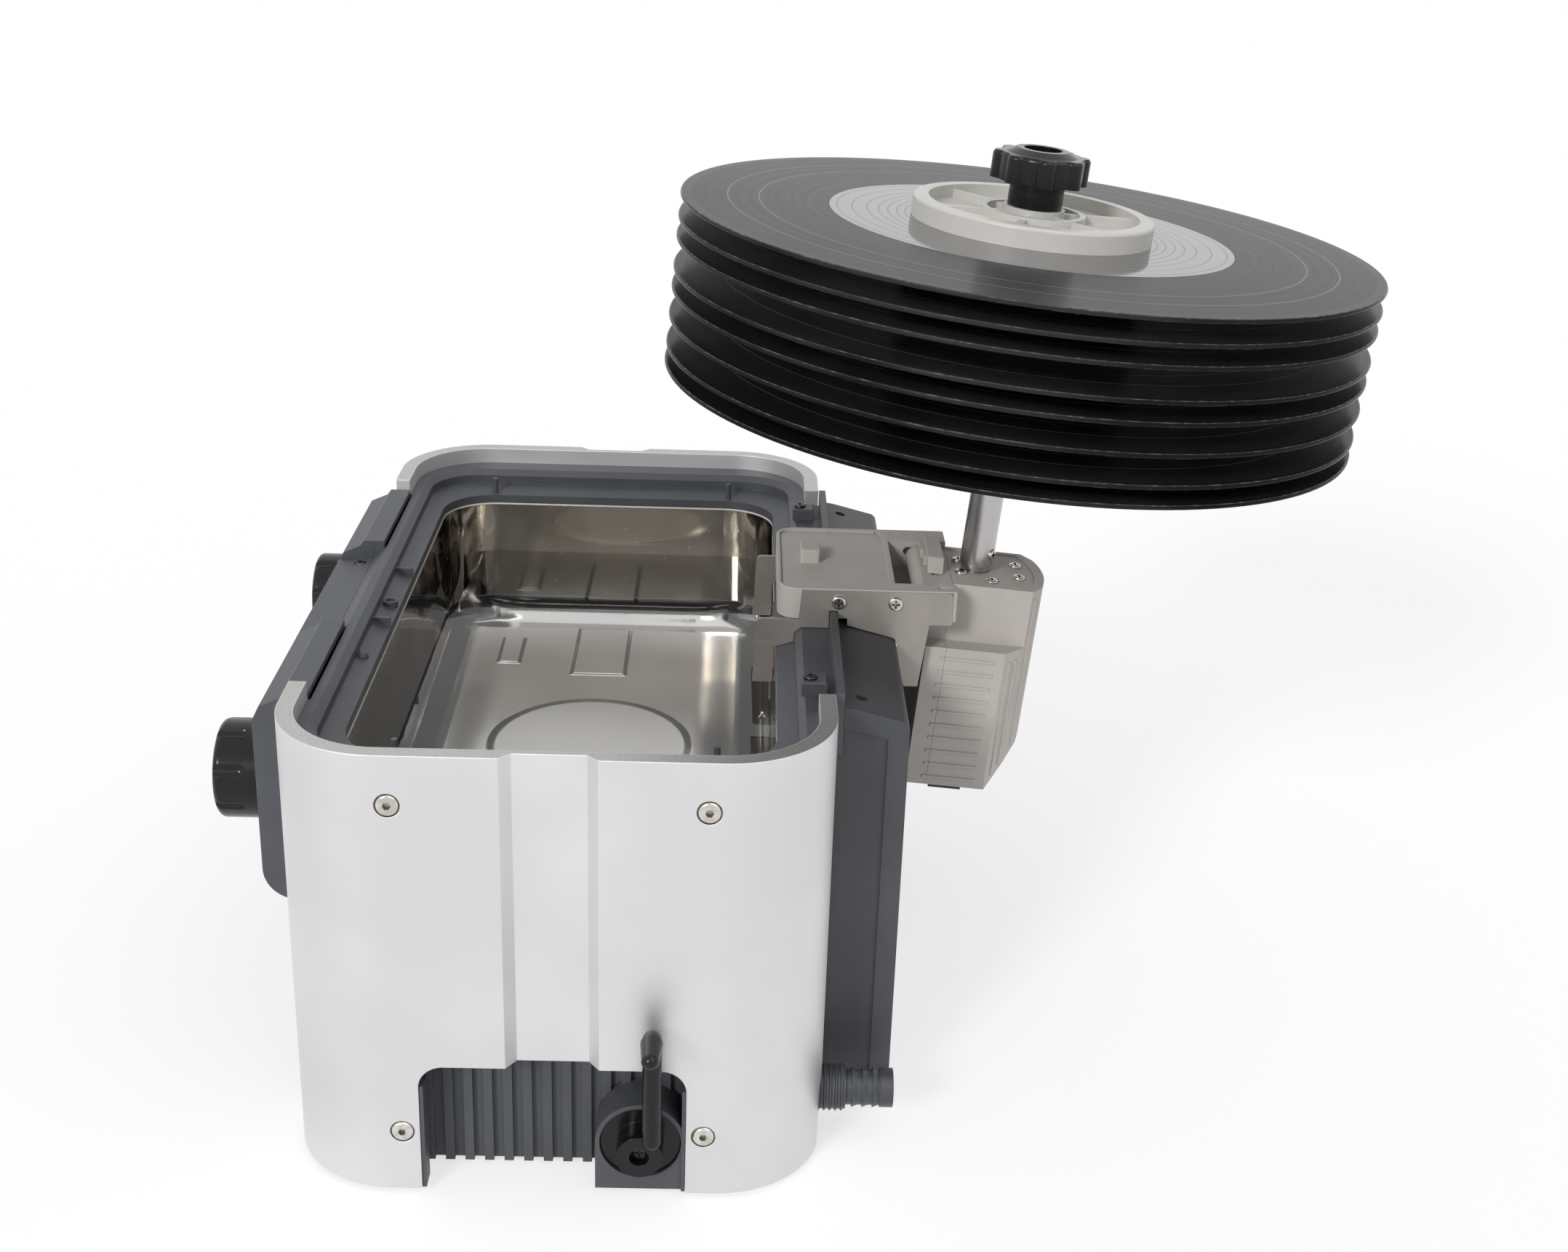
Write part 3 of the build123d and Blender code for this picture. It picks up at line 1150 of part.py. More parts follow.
def box_form(d, top_w):
    """The motor box, set in by d: a wide lower part with its foot cut back, a slim upper part."""
    foot = prism_y([(box_tip + 1 - d, box_cut_w + d), (box_cut_u - d, box_bottom_w + d),
                    (box_cut_u - d, box_bottom_w - 9), (box_tip + 9, box_bottom_w - 9),
                    (box_tip + 9, box_cut_w + d)], -lower_half - 1, lower_half + 1)
    return upper_plan(d, ledge_w - d - 1, top_w) + (lower_plan(d, box_bottom_w + d, ledge_w - d) - foot)


def facet_rib(start, end, part, w0, w1):
    """An upright rib on the facet between two (u, y) corners, on the near side."""
    u = start[0] + part * (end[0] - start[0])
    y = start[1] + part * (end[1] - start[1])
    turn = degrees(atan2(end[1] - start[1], end[0] - start[0]))
    return Pos(u, -y, (w0 + w1) / 2) * Rot(0, 0, -turn) * Box(rib_width, 2 * rib_height, w1 - w0)


def box_ribs():
    """Level ribs on the side and upright ribs on the facets, for the near side."""
    ribs = []
    for k in range(rib_count):
        w = rib_first_w - k * rib_pitch
        ribs.append(block(rib_left, rib_left + rib_length, -lower_half - rib_height,
                          -lower_half + 0.5, w - rib_width / 2, w + rib_width / 2))
    lower = (lower_flat_right, lower_half)
    knee = (lower_knee_u, lower_knee_y)
    upper = (upper_flat_right, upper_half)
    end = (box_end_u, box_end_y)
    fall = (box_cut_w - box_bottom_w) / (box_tip + 1 - box_cut_u)
    for start, stop, part, top in ((lower, knee, 0.33, rib_first_w), (lower, knee, 0.7, rib_first_w),
                                   (upper, end, 0.4, -4.0)):
        u = start[0] + part * (stop[0] - start[0])
        low = box_bottom_w + (u - box_cut_u) * fall + 3.5
        ribs.append(facet_rib(start, stop, part, low, top))
    return ribs


def make_motor_box():
    pu, pw = arm_uw(pivot_x, pivot_z)
    form = box_form(0, box_rim)
    form -= block(box_left - 1, cap_left, -upper_half - 1, upper_half + 1, 0, box_rim + 1)
    form += rod_y_axis(knuckle_r, pu, knuckle_near_y, knuckle_far_y, pw)
    form += block(knuckle_top_left, box_left + 2, knuckle_near_y, knuckle_far_y, pw, 0)
    form += block(pu, box_left + 2, knuckle_near_y, knuckle_far_y, pw - knuckle_r, pw)
    seat = cap_thickness
    form -= box_form(box_wall, ledge_w + 12)
    form -= upper_plan(box_wall + 2, ledge_w + 11, -seat)
    form -= cap_plan(0, -seat, box_rim + 1)
    form -= rod_y_axis(pivot_r + run_gap, pu, -40, 40, pw)
    # groove for the catch's tongue
    tongue_half = 1.5
    tongue_w = -2.0
    form -= block(catch_u - tongue_half - 0.15, catch_u + tongue_half + 0.15,
                  catch_near_y - catch_travel + 1.7, catch_far_y - 2.7, tongue_w - seat_gap, 9)
    for rib in box_ribs():
        form += rib
        form += mirrored_y(rib)
    big = 300
    inner_side = form & block(-big, cap_left - push_gap / 2, -big, big, -big, big)
    outer_side = form & block(cap_left + push_gap / 2, big, -big, big, -big, big)
    parts["motor_housing_inner"] = on_arm(inner_side)
    parts["motor_housing_outer"] = on_arm(outer_side)
    cap = cap_plan(push_gap, -seat, 0) - rod_z_axis(6.3, 0, 0, -9, 9)
    screws = []
    holes = []
    for k in range(cap_screw_count):
        a = radians(360 / cap_screw_count * (k + 0.5))
        u = gearbox_u + cap_screw_circle_r * cos(a)
        y = cap_screw_circle_r * sin(a)
        holes.append(rod_z_axis(1.5 + push_gap, u, y, -9, 9))
        screws.append(Pos(u, y, 0) * pan_screw(1.5, 2.8, 1.5, 6))
    for hole in holes:
        cap -= hole
    parts["motor_cap"] = on_arm(cap)
    parts["motor_cap_screws"] = Compound(children=[on_arm(s) for s in screws])
    motor = rod_z_axis(gearbox_r, gearbox_u, 0, -seat - gearbox_h, -seat)
    motor += rod_z_axis(motor_r, gearbox_u, 0, -seat - gearbox_h - motor_h, -seat - gearbox_h)
    motor += rod_z_axis(6.0, 0, 0, -seat - 1, 0.2)
    motor -= rod_z_axis(spindle_r + run_gap, 0, 0, -14, 9)
    for hole in holes:
        motor -= hole & block(-50, 50, -50, 50, -7, 9)
    parts["gear_motor"] = on_arm(motor)
    jack_place = Pos(jack_u, jack_y, box_bottom_w)
    jack = jack_place * block(-jack_width / 2, jack_width / 2, -jack_length / 2,
                              jack_length / 2, -jack_proud, 9)
    jack -= jack_place * rod_z_axis(3, 0, 0, -jack_proud - 1, 6)
    hole = jack_place * block(-jack_width / 2 - push_gap, jack_width / 2 + push_gap,
                              -jack_length / 2 - push_gap, jack_length / 2 + push_gap,
                              -jack_proud, 3)
    for side in ("motor_housing_inner", "motor_housing_outer"):
        parts[side] -= on_arm(hole)
    parts["arm_power_inlet"] = on_arm(jack)
    base_w = seat_gap
    top_w = base_w + catch_height
    left = catch_u - catch_width / 2
    catch = prism_x([(catch_near_y, base_w), (catch_far_y, base_w), (catch_far_y, top_w),
                     (catch_near_y + catch_slope, top_w)], left, left + catch_width)
    catch += block(left - catch_step, left + 1, catch_far_y - 14, catch_far_y - 3,
                   base_w, top_w - 1.8)
    catch += block(left - catch_step / 2, left + 1, catch_far_y - 23, catch_far_y - 13,
                   base_w, top_w - 1.8)
    catch += block(catch_u - tongue_half, catch_u + tongue_half, catch_near_y + 2,
                   catch_far_y - 3, tongue_w, base_w + 1)
    parts["tilt_catch"] = on_arm(catch)


# ---------------------------------------------------------------- spindle and records
record_tops = [stack_top_w]
for step in record_steps:
    record_tops.append(record_tops[-1] - step)
record_tops.reverse()
stack_base_w = record_tops[0] - record_thickness


def label_spacer(w0, w1):
    """A spool that keeps two records apart and its rim keeps water off their labels."""
    mid = (w0 + w1) / 2
    spacer = rod_z_axis(seal_r, 0, 0, w0, w1) - rod_z_axis(seal_r - seal_rim, 0, 0, w0, w1)
    spacer += rod_z_axis(seal_r - seal_rim + 1, 0, 0, mid - seal_web / 2, mid + seal_web / 2)
    spacer += rod_z_axis(seal_hub_r, 0, 0, w0, w1)
    return spacer - rod_z_axis(spindle_r + push_gap / 2, 0, 0, w0 - 1, w1 + 1)


def make_spindle():
    clamp_top = stack_top_w + clamp_h
    spindle_top = clamp_top + knob_stem_h + lobe_h - 1
    parts["spindle"] = on_arm(rod_z_axis(spindle_r, 0, 0, -12, spindle_top))
    sleeve = rod_z_axis(sleeve_neck_r, 0, 0, 0.8, 1 + sleeve_neck_h)
    sleeve += rod_z_axis(sleeve_r, 0, 0, 0.8 + sleeve_neck_h, sleeve_top_w)
    sleeve -= rod_z_axis(spindle_r + push_gap / 2, 0, 0, 0, sleeve_top_w + 1)
    turn = Rot(0, 0, sleeve_screw_angle)
    socket = Pos(0, 0, sleeve_screw_w) * Rot(0, 90, 0)
    seat_r = sleeve_r - 0.9
    sleeve -= turn * socket * rod_z_axis(1.5 + push_gap, 0, 0, spindle_r, 20)
    sleeve -= turn * socket * rod_z_axis(2.6 + push_gap, 0, 0, seat_r, 20)
    parts["spindle_sleeve"] = on_arm(sleeve)
    screw = Pos(0, 0, seat_r) * pan_screw(1.5, 2.6, 1.8, seat_r - spindle_r - push_gap)
    parts["sleeve_screw"] = on_arm(turn * socket * screw)
    support = rod_z_axis(seal_r, 0, 0, stack_base_w - 4.5, stack_base_w)
    support -= rod_z_axis(seal_r - seal_rim, 0, 0, stack_base_w - 1.5, stack_base_w + 1)
    support += rod_z_axis(seal_hub_r + 3, 0, 0, sleeve_top_w, stack_base_w)
    support -= rod_z_axis(spindle_r + push_gap / 2, 0, 0, 0, 300)
    parts["support_disc"] = on_arm(support)
    disc = Cylinder(record_r, record_thickness)
    disc = fillet(disc.edges(), 0.8)
    disc -= Cylinder(record_hole_r, 9)
    stack = [on_arm(Pos(0, 0, top - record_thickness / 2) * disc) for top in record_tops]
    parts["records"] = Compound(children=stack)
    spacers = []
    for low, high in zip(record_tops[:-1], record_tops[1:]):
        spacers.append(on_arm(label_spacer(low, high - record_thickness)))
    parts["record_spacers"] = Compound(children=spacers)


def make_clamp():
    w0 = stack_top_w
    top = w0 + clamp_h
    disc = rod_z_axis(seal_r, 0, 0, w0, top)
    disc = fillet(disc.edges().group_by(Axis.Z)[-1], 1.5)
    disc -= rod_z_axis(seal_r - clamp_rim, 0, 0, w0 + clamp_floor, top + 1)
    disc += (rod_z_axis(clamp_ring_r + clamp_ring_wall, 0, 0, w0 + 1, top - 1.5)
             - rod_z_axis(clamp_ring_r, 0, 0, w0 + 1, top))
    disc += rod_z_axis(knob_stem_r + 1.5, 0, 0, w0 + 1, top)
    spoke = block(knob_stem_r, seal_r - clamp_rim + 1, -clamp_spoke_width / 2,
                  clamp_spoke_width / 2, w0 + 1, top - 2.2)
    for k in range(clamp_spokes):
        disc += Rot(0, 0, 360 / clamp_spokes * k + 12) * spoke
    disc -= rod_z_axis(spindle_r + push_gap / 2, 0, 0, w0 - 1, top + 1)
    parts["clamp_disc"] = on_arm(disc)
    k0 = top + seat_gap
    stem_top = k0 + knob_stem_h
    lobe_top = stem_top + lobe_h
    knob = rod_z_axis(knob_stem_r, 0, 0, k0, stem_top + 1)
    star = Circle(lobe_valley_r)
    for k in range(lobe_count):
        star += Rot(0, 0, 360 / lobe_count * k) * Pos(lobe_r - 4.4, 0) * Circle(4.4)
    low = Pos(0, 0, stem_top) * extrude(star, lobe_h - 1.2)
    crown = low + Pos(0, 0, lobe_top - 1.2) * extrude(star, 1.2, taper=35)
    crown += Pos(0, 0, lobe_top + 1) * Cone(lobe_valley_r - 3, star_recess_r + 3, 2)
    knob += crown
    knob -= rod_z_axis(star_recess_r, 0, 0, lobe_top + 2 - star_recess_depth, lobe_top + 5)
    knob -= rod_z_axis(spindle_r + run_gap, 0, 0, k0 - 1, stem_top + lobe_h - 1.2 + 0.6)
    parts["clamp_knob"] = on_arm(knob)


make_shells()
make_bezel()
make_hinge_blocks()
make_tank()
make_tank_fittings()
make_cabinet()
make_base()
make_drain()
make_front_casing()
make_controls()
make_rear_casing()
make_bridge()
make_motor_box()
make_spindle()
make_clamp()

os.makedirs("parts", exist_ok=True)
boxes = [shape.bounding_box() for shape in parts.values()]
mid_x = (min(b.min.X for b in boxes) + max(b.max.X for b in boxes)) / 2
mid_y = (min(b.min.Y for b in boxes) + max(b.max.Y for b in boxes)) / 2
low_z = min(b.min.Z for b in boxes)
print("shift", -mid_x, -mid_y, -low_z)
for node, shape in parts.items():
    solids = (Pos(-mid_x, -mid_y, -low_z) * shape).solids()
    export_step(solids[0] if len(solids) == 1 else Compound(solids), "parts/" + node + ".step")
    print(node, len(solids), round(shape.volume))
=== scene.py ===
from math import cos, pi, radians, sin

import bmesh
import bpy
from mathutils import Matrix, Vector


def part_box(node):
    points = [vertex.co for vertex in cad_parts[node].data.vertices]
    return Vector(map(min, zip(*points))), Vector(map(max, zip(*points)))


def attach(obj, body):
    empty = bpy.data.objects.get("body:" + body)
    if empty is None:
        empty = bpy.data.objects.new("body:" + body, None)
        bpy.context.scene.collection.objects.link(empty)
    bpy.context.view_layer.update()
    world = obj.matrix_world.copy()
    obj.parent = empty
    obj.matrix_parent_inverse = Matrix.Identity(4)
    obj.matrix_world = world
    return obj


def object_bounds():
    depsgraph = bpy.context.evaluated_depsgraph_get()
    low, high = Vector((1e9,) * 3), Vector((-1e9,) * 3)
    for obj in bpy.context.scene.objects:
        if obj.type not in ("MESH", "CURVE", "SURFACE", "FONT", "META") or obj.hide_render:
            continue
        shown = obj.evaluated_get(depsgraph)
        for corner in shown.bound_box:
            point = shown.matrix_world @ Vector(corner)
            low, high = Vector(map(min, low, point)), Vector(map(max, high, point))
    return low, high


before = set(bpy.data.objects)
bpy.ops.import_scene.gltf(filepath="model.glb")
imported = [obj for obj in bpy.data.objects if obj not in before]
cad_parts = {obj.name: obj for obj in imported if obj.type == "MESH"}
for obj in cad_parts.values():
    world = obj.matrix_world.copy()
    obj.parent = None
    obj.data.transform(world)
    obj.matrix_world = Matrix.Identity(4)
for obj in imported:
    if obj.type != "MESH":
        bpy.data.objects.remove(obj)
cad_box = [list(corner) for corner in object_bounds()]

# ------------------------------------------------------------------ places
near_low, near_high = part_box("near_shell")
far_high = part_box("far_shell")[1]
# the middle of the tank body, level with the shells' lower edge, in metres
BODY = Vector(((near_low.x + near_high.x) / 2, (near_low.y + far_high.y) / 2, near_low.z))


def at(x, y, z):
    """A point given in millimetres from the middle of the tank body."""
    return BODY + Vector((x, y, z)) / 1000


SPINDLE_FOOT = at(177.5, 0, 202.6)
LEAN = radians(4.75)             # of the arm and its spindle, at rest

# from here on in millimetres, along the same axes
TANK_HALF = (85.8, 157.8)        # half of the tank's inside, at its upper edge
TANK_TOP, TANK_FLOOR = 176.0, 59.0
TANK_DRAFT = 4.0                 # each wall leans in by this much at the floor
RIM_HIGHLIGHT_HEIGHT = 3.0                   # height of the painted highlight along the walls' top
# what is pressed up in the floor: a disc and two panels, with the width of their slopes
FLOOR_DISC_R, DISC_SLOPE = 47.0, 5.0
PANEL, PANEL_HALF = (-1.5, 105.0), (13.5, 28.0)              # middle, and half of the size
SMALL_PANEL, SMALL_PANEL_HALF = (-48.5, 104.0), (5.5, 15.5)
PANEL_SLOPE = 2.6

WATER_LEVEL = 147.0
WATER_OVERLAP = 0.4              # how far the water goes into the sheet
WATER_CORNER, WATER_FOOT = 24.5, 13.5    # radii of its upright and its lowest edges

KNOB_Y, KNOB_Z = 99.5, 142.1     # the knobs' axes run along x at plus and minus this y
KNOB_FACE = -125.5               # x of the casing's face behind them
KNOB_FRONT = -141.5              # only the knobs' front faces lie beyond this x
TIME_TURN, HEAT_TURN = 300, 270  # how far each knob turns, in degrees
INDEX_START, INDEX_HALF = 9.5, 0.75      # where a knob's index line starts, half its width
INK_X, INK_THICKNESS = KNOB_FACE - 0.05, 0.2         # the marks printed round the knobs
LONG_TICK, SHORT_TICK = (0.45, 1.8), (0.3, 1.1)      # width and length
TICK_R, NUMBER_R = 22.4, 26.2    # where the ticks start, and the middle of the numbers
NUMBER_SIZE, NUMBER_RAISED = 2.6, 0.1

SPOUT_Y, SPOUT_Z = -149.0, 22.3  # the drain spout's axis, which runs along x
THREAD_START, THREAD_END = 104.6, 119.0
THREAD_R, THREAD_PITCH = 9.2, 2.4
# one ring cut across: along x and outwards, from the middle of its foot
THREAD_SECTION = ((-0.85, -0.25), (-0.25, 0.75), (0.25, 0.75), (0.85, -0.25))

# the records, from their own centre
LAND_R = 87.2                    # the run-out land's outer edge
GROOVES_R, BEAD_R = 146.3, 150.2         # where the grooves end, and where the bead starts
TRACK_GAPS, GAP_HALF = (117.5, 131.0), 0.3
LAND_RINGS, RING_HALF = (84, 77.5, 71, 66, 62, 58, 54.5), 0.28

# ------------------------------------------------------------------ camera
CAMERA_PLACE = at(68.39, -854.15, 524.26)
YAW, PITCH, ROLL = -0.026, 0.3914, 0.0353            # in radians
LENS, SENSOR_WIDTH = 45.65, 36


def make_camera():
    """The photograph's view: turned by the yaw, tipped down by the pitch, then rolled."""
    right = Vector((cos(YAW), sin(YAW), 0))
    ahead = Vector((-sin(YAW) * cos(PITCH), cos(YAW) * cos(PITCH), -sin(PITCH)))
    up = right.cross(ahead)
    tilted_right = cos(ROLL) * right + sin(ROLL) * up
    tilted_up = -sin(ROLL) * right + cos(ROLL) * up
    data = bpy.data.cameras.new("camera")
    data.sensor_fit = "HORIZONTAL"
    data.sensor_width = SENSOR_WIDTH
    data.lens = LENS
    data.clip_start = 0.01
    data.clip_end = 30
    camera = bpy.data.objects.new("camera", data)
    turn = Matrix((tilted_right, tilted_up, -ahead)).transposed().to_4x4()
    camera.matrix_world = Matrix.Translation(CAMERA_PLACE) @ turn
    bpy.context.collection.objects.link(camera)
    bpy.context.scene.camera = camera


make_camera()


# ------------------------------------------------------------------ shader maths
class Value:
    """An output of a node, with arithmetic that adds its Math nodes."""

    def __init__(self, owner, socket):
        self.owner = owner
        self.socket = socket

    def maths(self, operation, *others):
        return self.owner.node("ShaderNodeMath", {"operation": operation}, self, *others)

    def __add__(self, other): return self.maths("ADD", other)
    def __radd__(self, other): return self.maths("ADD", other)
    def __sub__(self, other): return self.maths("SUBTRACT", other)
    def __mul__(self, other): return self.maths("MULTIPLY", other)
    def __rmul__(self, other): return self.maths("MULTIPLY", other)

    def __rsub__(self, other):
        return self.owner.node("ShaderNodeMath", {"operation": "SUBTRACT"}, other, self)

    def above(self, edge): return self.maths("GREATER_THAN", edge)
    def below(self, edge): return self.maths("LESS_THAN", edge)
    def high(self, other): return self.maths("MAXIMUM", other)
    def sine(self): return self.maths("SINE")
    def size(self): return self.maths("ABSOLUTE")
    def root(self): return self.maths("SQRT")

    def ramp(self, start, end):
        """0 at start, 1 at end, smooth between."""
        return self.owner.node("ShaderNodeMapRange", {"interpolation_type": "SMOOTHSTEP"},
                               self, start, end, 0.0, 1.0)


class Nodes:
    """The nodes of a material or of the world."""

    def __init__(self, data):
        self.data = data
        data.use_nodes = True
        self.tree = data.node_tree
        self.tree.nodes.clear()

    def node(self, kind, settings=None, *values, out=0, **named):
        """Makes any node from its type, its settings and its inputs. None skips an input."""
        node = self.tree.nodes.new(kind)
        for key, value in (settings or {}).items():
            setattr(node, key, value)
        for index, value in enumerate(values):
            self.put(node.inputs[index], value)
        for name, value in named.items():
            self.put(node.inputs[name.replace("_", " ")], value)
        return Value(self, node.outputs[out]) if node.outputs else None

    def put(self, socket, value):
        if value is None:
            return
        if isinstance(value, Value):
            self.tree.links.new(value.socket, socket)
        elif socket.type == "RGBA":
            socket.default_value = tuple(value) + (1.0,) * (4 - len(value))
        else:
            socket.default_value = value

    def seen_rays(self):
        """1 on rays from the camera, mirrors and clear things, 0 on the rays that light."""
        kinds = ("Is Camera Ray", "Is Glossy Ray", "Is Transmission Ray")
        camera, mirror, clear = [self.node("ShaderNodeLightPath", out=kind) for kind in kinds]
        return camera.high(mirror).high(clear)


class Material(Nodes):
    """A material, with the patterns that the finishes are made from."""

    def __init__(self, name):
        super().__init__(bpy.data.materials.new(name))

    def place(self):
        """Object coordinates, which on every piece are the whole object's, in metres."""
        return self.node("ShaderNodeTexCoord", out="Object")

    def moved(self, vector, offset=(0, 0, 0), turn=(0, 0, 0), scale=(1, 1, 1)):
        """That vector scaled, then turned, then shifted."""
        return self.node("ShaderNodeMapping", {"vector_type": "POINT"},
                         vector, offset, turn, scale)

    def axes(self, vector):
        """The x, y and z of a vector."""
        first = self.node("ShaderNodeSeparateXYZ", None, vector)
        return [Value(self, socket) for socket in first.socket.node.outputs]

    def millimetres_from(self, point):
        """x, y and z in millimetres from a point."""
        return [(value - start) * 1000
                for value, start in zip(self.axes(self.place()), point)]

    def level(self):
        """1 on a level face, 0 on an upright one."""
        return self.axes(self.node("ShaderNodeNewGeometry", out="True Normal"))[2].size()

    def noise(self, scale, detail, roughness, stretch=None):
        """Noise with that many waves to a metre, times stretch along x, y and z."""
        vector = self.moved(self.place(), scale=stretch) if stretch else self.place()
        return self.node("ShaderNodeTexNoise", {"noise_dimensions": "3D"}, Vector=vector,
                         Scale=scale, Detail=detail, Roughness=roughness)

    def edges(self, radius):
        """1 on the sharp edges of the piece, out to about that far, and 0 elsewhere."""
        soft = self.node("ShaderNodeBevel", {"samples": 6}, radius)
        true = self.node("ShaderNodeNewGeometry", out="True Normal")
        alike = self.node("ShaderNodeVectorMath", {"operation": "DOT_PRODUCT"},
                          soft, true, out="Value")
        return 1 - alike.ramp(0.80, 0.985)

    def hollows(self, reach):
        """0 deep in a recess no wider than about that, and 1 in the open."""
        return self.node("ShaderNodeAmbientOcclusion", {"samples": 8, "only_local": True},
                         None, reach, out="AO")

    def mix(self, share, a, b):
        """The colour a where share is 0, and b where it is 1."""
        unused = [None] * 5
        return self.node("ShaderNodeMix", {"data_type": "RGBA"}, share, *unused, a, b, out=2)

    def bump(self, height, distance, strength=1.0, edge=0.0):
        """A bump of that height, over edges that look rounded to the radius edge."""
        soft = self.node("ShaderNodeBevel", {"samples": 4}, edge) if edge else None
        return self.node("ShaderNodeBump", None, Strength=strength, Distance=distance,
                         Height=height, Normal=soft)

    def surface(self, colour, roughness, metallic, bump, **more):
        """Finishes the material: one principled shader with these inputs."""
        shader = self.node("ShaderNodeBsdfPrincipled", None, Base_Color=colour,
                           Roughness=roughness, Metallic=metallic, Normal=bump, **more)
        self.node("ShaderNodeOutputMaterial", None, shader)
        return self.data


# ------------------------------------------------------------------ finishes
def blasted_aluminium():
    """End shells: fine bead-blasted skin, with bright edges that are partly worn bare metal and
    partly painted highlight.
    """
    m = Material("blasted_aluminium")
    grain = m.noise(5200, 3, 0.65)
    cloud = m.noise(14, 3, 0.5)
    cut = m.level().above(0.9)
    tool = m.noise(900, 2, 0.5, stretch=(1, 1, 0.1))
    fleck = m.node("ShaderNodeTexVoronoi", {"feature": "F1"}, Vector=m.place(), Scale=2600)
    skin = m.mix(cloud.ramp(0.35, 0.7), (0.70, 0.695, 0.70), (0.75, 0.745, 0.75))
    edge = m.mix(fleck.ramp(0.2, 0.7), (0.60, 0.59, 0.58), (0.40, 0.395, 0.39))
    colour = m.mix(cut, skin, edge)
    # the edges are lightened: partly worn bare metal, partly a painted highlight along the
    # arris
    arris_wear_and_highlight = m.edges(0.0007) * (0.35 + 0.65 * fleck.ramp(0.3, 0.6))
    colour = m.mix(arris_wear_and_highlight * 0.8, colour, (0.96, 0.955, 0.95))
    rough = 0.42 + 0.10 * grain + 0.05 * cloud - cut * (0.16 - 0.10 * tool)
    height = grain * (1 - cut) * 0.5 + tool * cut + fleck * cut * 0.6
    return m.surface(colour, rough, 1.0, m.bump(height, 0.00012, 0.6, 0.0006))


def moulded(name, light, dark, rough, grain_depth=0.00006):
    """Textured moulded plastic: spark-eroded grain, faint mottling, paler rubbed spots, and
    paler edges that are partly wear and partly painted highlight.
    """
    m = Material(name)
    grain = m.noise(2600, 3, 0.6)
    mottle = m.noise(30, 4, 0.6)
    scuff = m.noise(240, 4, 0.7, stretch=(1, 3, 0.6)).ramp(0.66, 0.74)
    colour = m.mix(mottle.ramp(0.3, 0.7), dark, light)
    # paler on rubbed spots (wear) and on the edges (partly wear, partly painted highlight)
    rubbed_and_highlit = tuple(min(1, c * 1.3 + 0.015) for c in light)
    colour = m.mix((scuff * 0.25).high(m.edges(0.0004) * 0.4), colour, rubbed_and_highlit)
    roughness = rough + 0.12 * (grain - 0.5) + 0.10 * (mottle - 0.5)
    return m.surface(colour, roughness, 0.0, m.bump(grain, grain_depth, 0.8, 0.0004))


def pressed(x, y, centre, half):
    """1 on a panel pressed up in the tank's floor and 0 off it, with a slope between."""
    across = (x - centre[0]).size() - half[0]
    along = (y - centre[1]).size() - half[1]
    return 1 - across.high(along).ramp(-PANEL_SLOPE / 2, PANEL_SLOPE / 2)


def polished_tank():
    """Drawn stainless tank: mirror-bright walls in a darker brownish tone that paints their
    reflections, a painted highlight along their top, and a paler floor with pressed panels.
    """
    m = Material("polished_tank")
    x, y, z = m.millimetres_from(at(0, 0, 0))
    slow = m.noise(7, 2, 0.45)
    cloud = m.noise(26, 1, 0.5)
    draw = m.noise(240, 3, 0.6, stretch=(1, 1, 0.05))
    dried = m.noise(420, 2, 0.5).ramp(0.72, 0.74) * z.ramp(120, 150)

    # what lies where: up the walls, on the floor, on its panels and at its rounded edges
    walls = z.ramp(61, 125)
    low = 1 - z.ramp(62, 80)
    r = (x * x + y * y).root()
    disc = 1 - r.ramp(FLOOR_DISC_R - DISC_SLOPE / 2, FLOOR_DISC_R + DISC_SLOPE / 2)
    panel = pressed(x, y, PANEL, PANEL_HALF)
    small_panel = pressed(x, y, SMALL_PANEL, SMALL_PANEL_HALF)
    side_rise = x.size().ramp(TANK_HALF[0] - 40, TANK_HALF[0] - 8)
    end_rise = y.size().ramp(TANK_HALF[1] - 26, TANK_HALF[1] - 8)
    rise = side_rise + end_rise * 0.5

    # painted reflection: the walls get a darker brownish tone than the floor's steel, standing
    # for the dark surroundings they mirror
    wall = m.mix(cloud.ramp(0.3, 0.75), (0.29, 0.26, 0.215), (0.38, 0.345, 0.295))
    # painted highlight: a pale band along the walls' top, standing for light caught on the
    # rolled edge
    wall = m.mix(z.above(TANK_TOP - RIM_HIGHLIGHT_HEIGHT), wall, (0.85, 0.83, 0.80))
    floor = m.mix(slow.ramp(0.35, 0.65), (0.50, 0.49, 0.485), (0.66, 0.645, 0.625))
    floor = m.mix(disc * 0.6, floor, (0.78, 0.765, 0.73))
    colour = m.mix(walls, floor, wall)
    colour = m.mix(dried * 0.5, colour, (0.80, 0.79, 0.77))
    rough = 0.055 + 0.02 * cloud + 0.02 * draw * walls + 0.25 * dried
    rough = rough + low * (0.085 + 0.09 * disc)
    relief = (disc + panel + small_panel) * low * 0.0012 + rise * low * 0.006
    return m.surface(colour, rough, 1.0, m.bump(relief + slow * 0.0006, 1.0))


def clear_water():
    """Still water, faintly grey, with a few slow ripples."""
    m = Material("clear_water")
    swell = m.noise(6, 2, 0.4)
    tint = m.mix(m.noise(3, 2, 0.5), (0.93, 0.94, 0.94), (0.97, 0.975, 0.97))
    return m.surface(tint, 0.01 * swell, 0.0, m.bump(swell, 0.0005, 0.3),
                     Transmission_Weight=1.0, IOR=1.333)


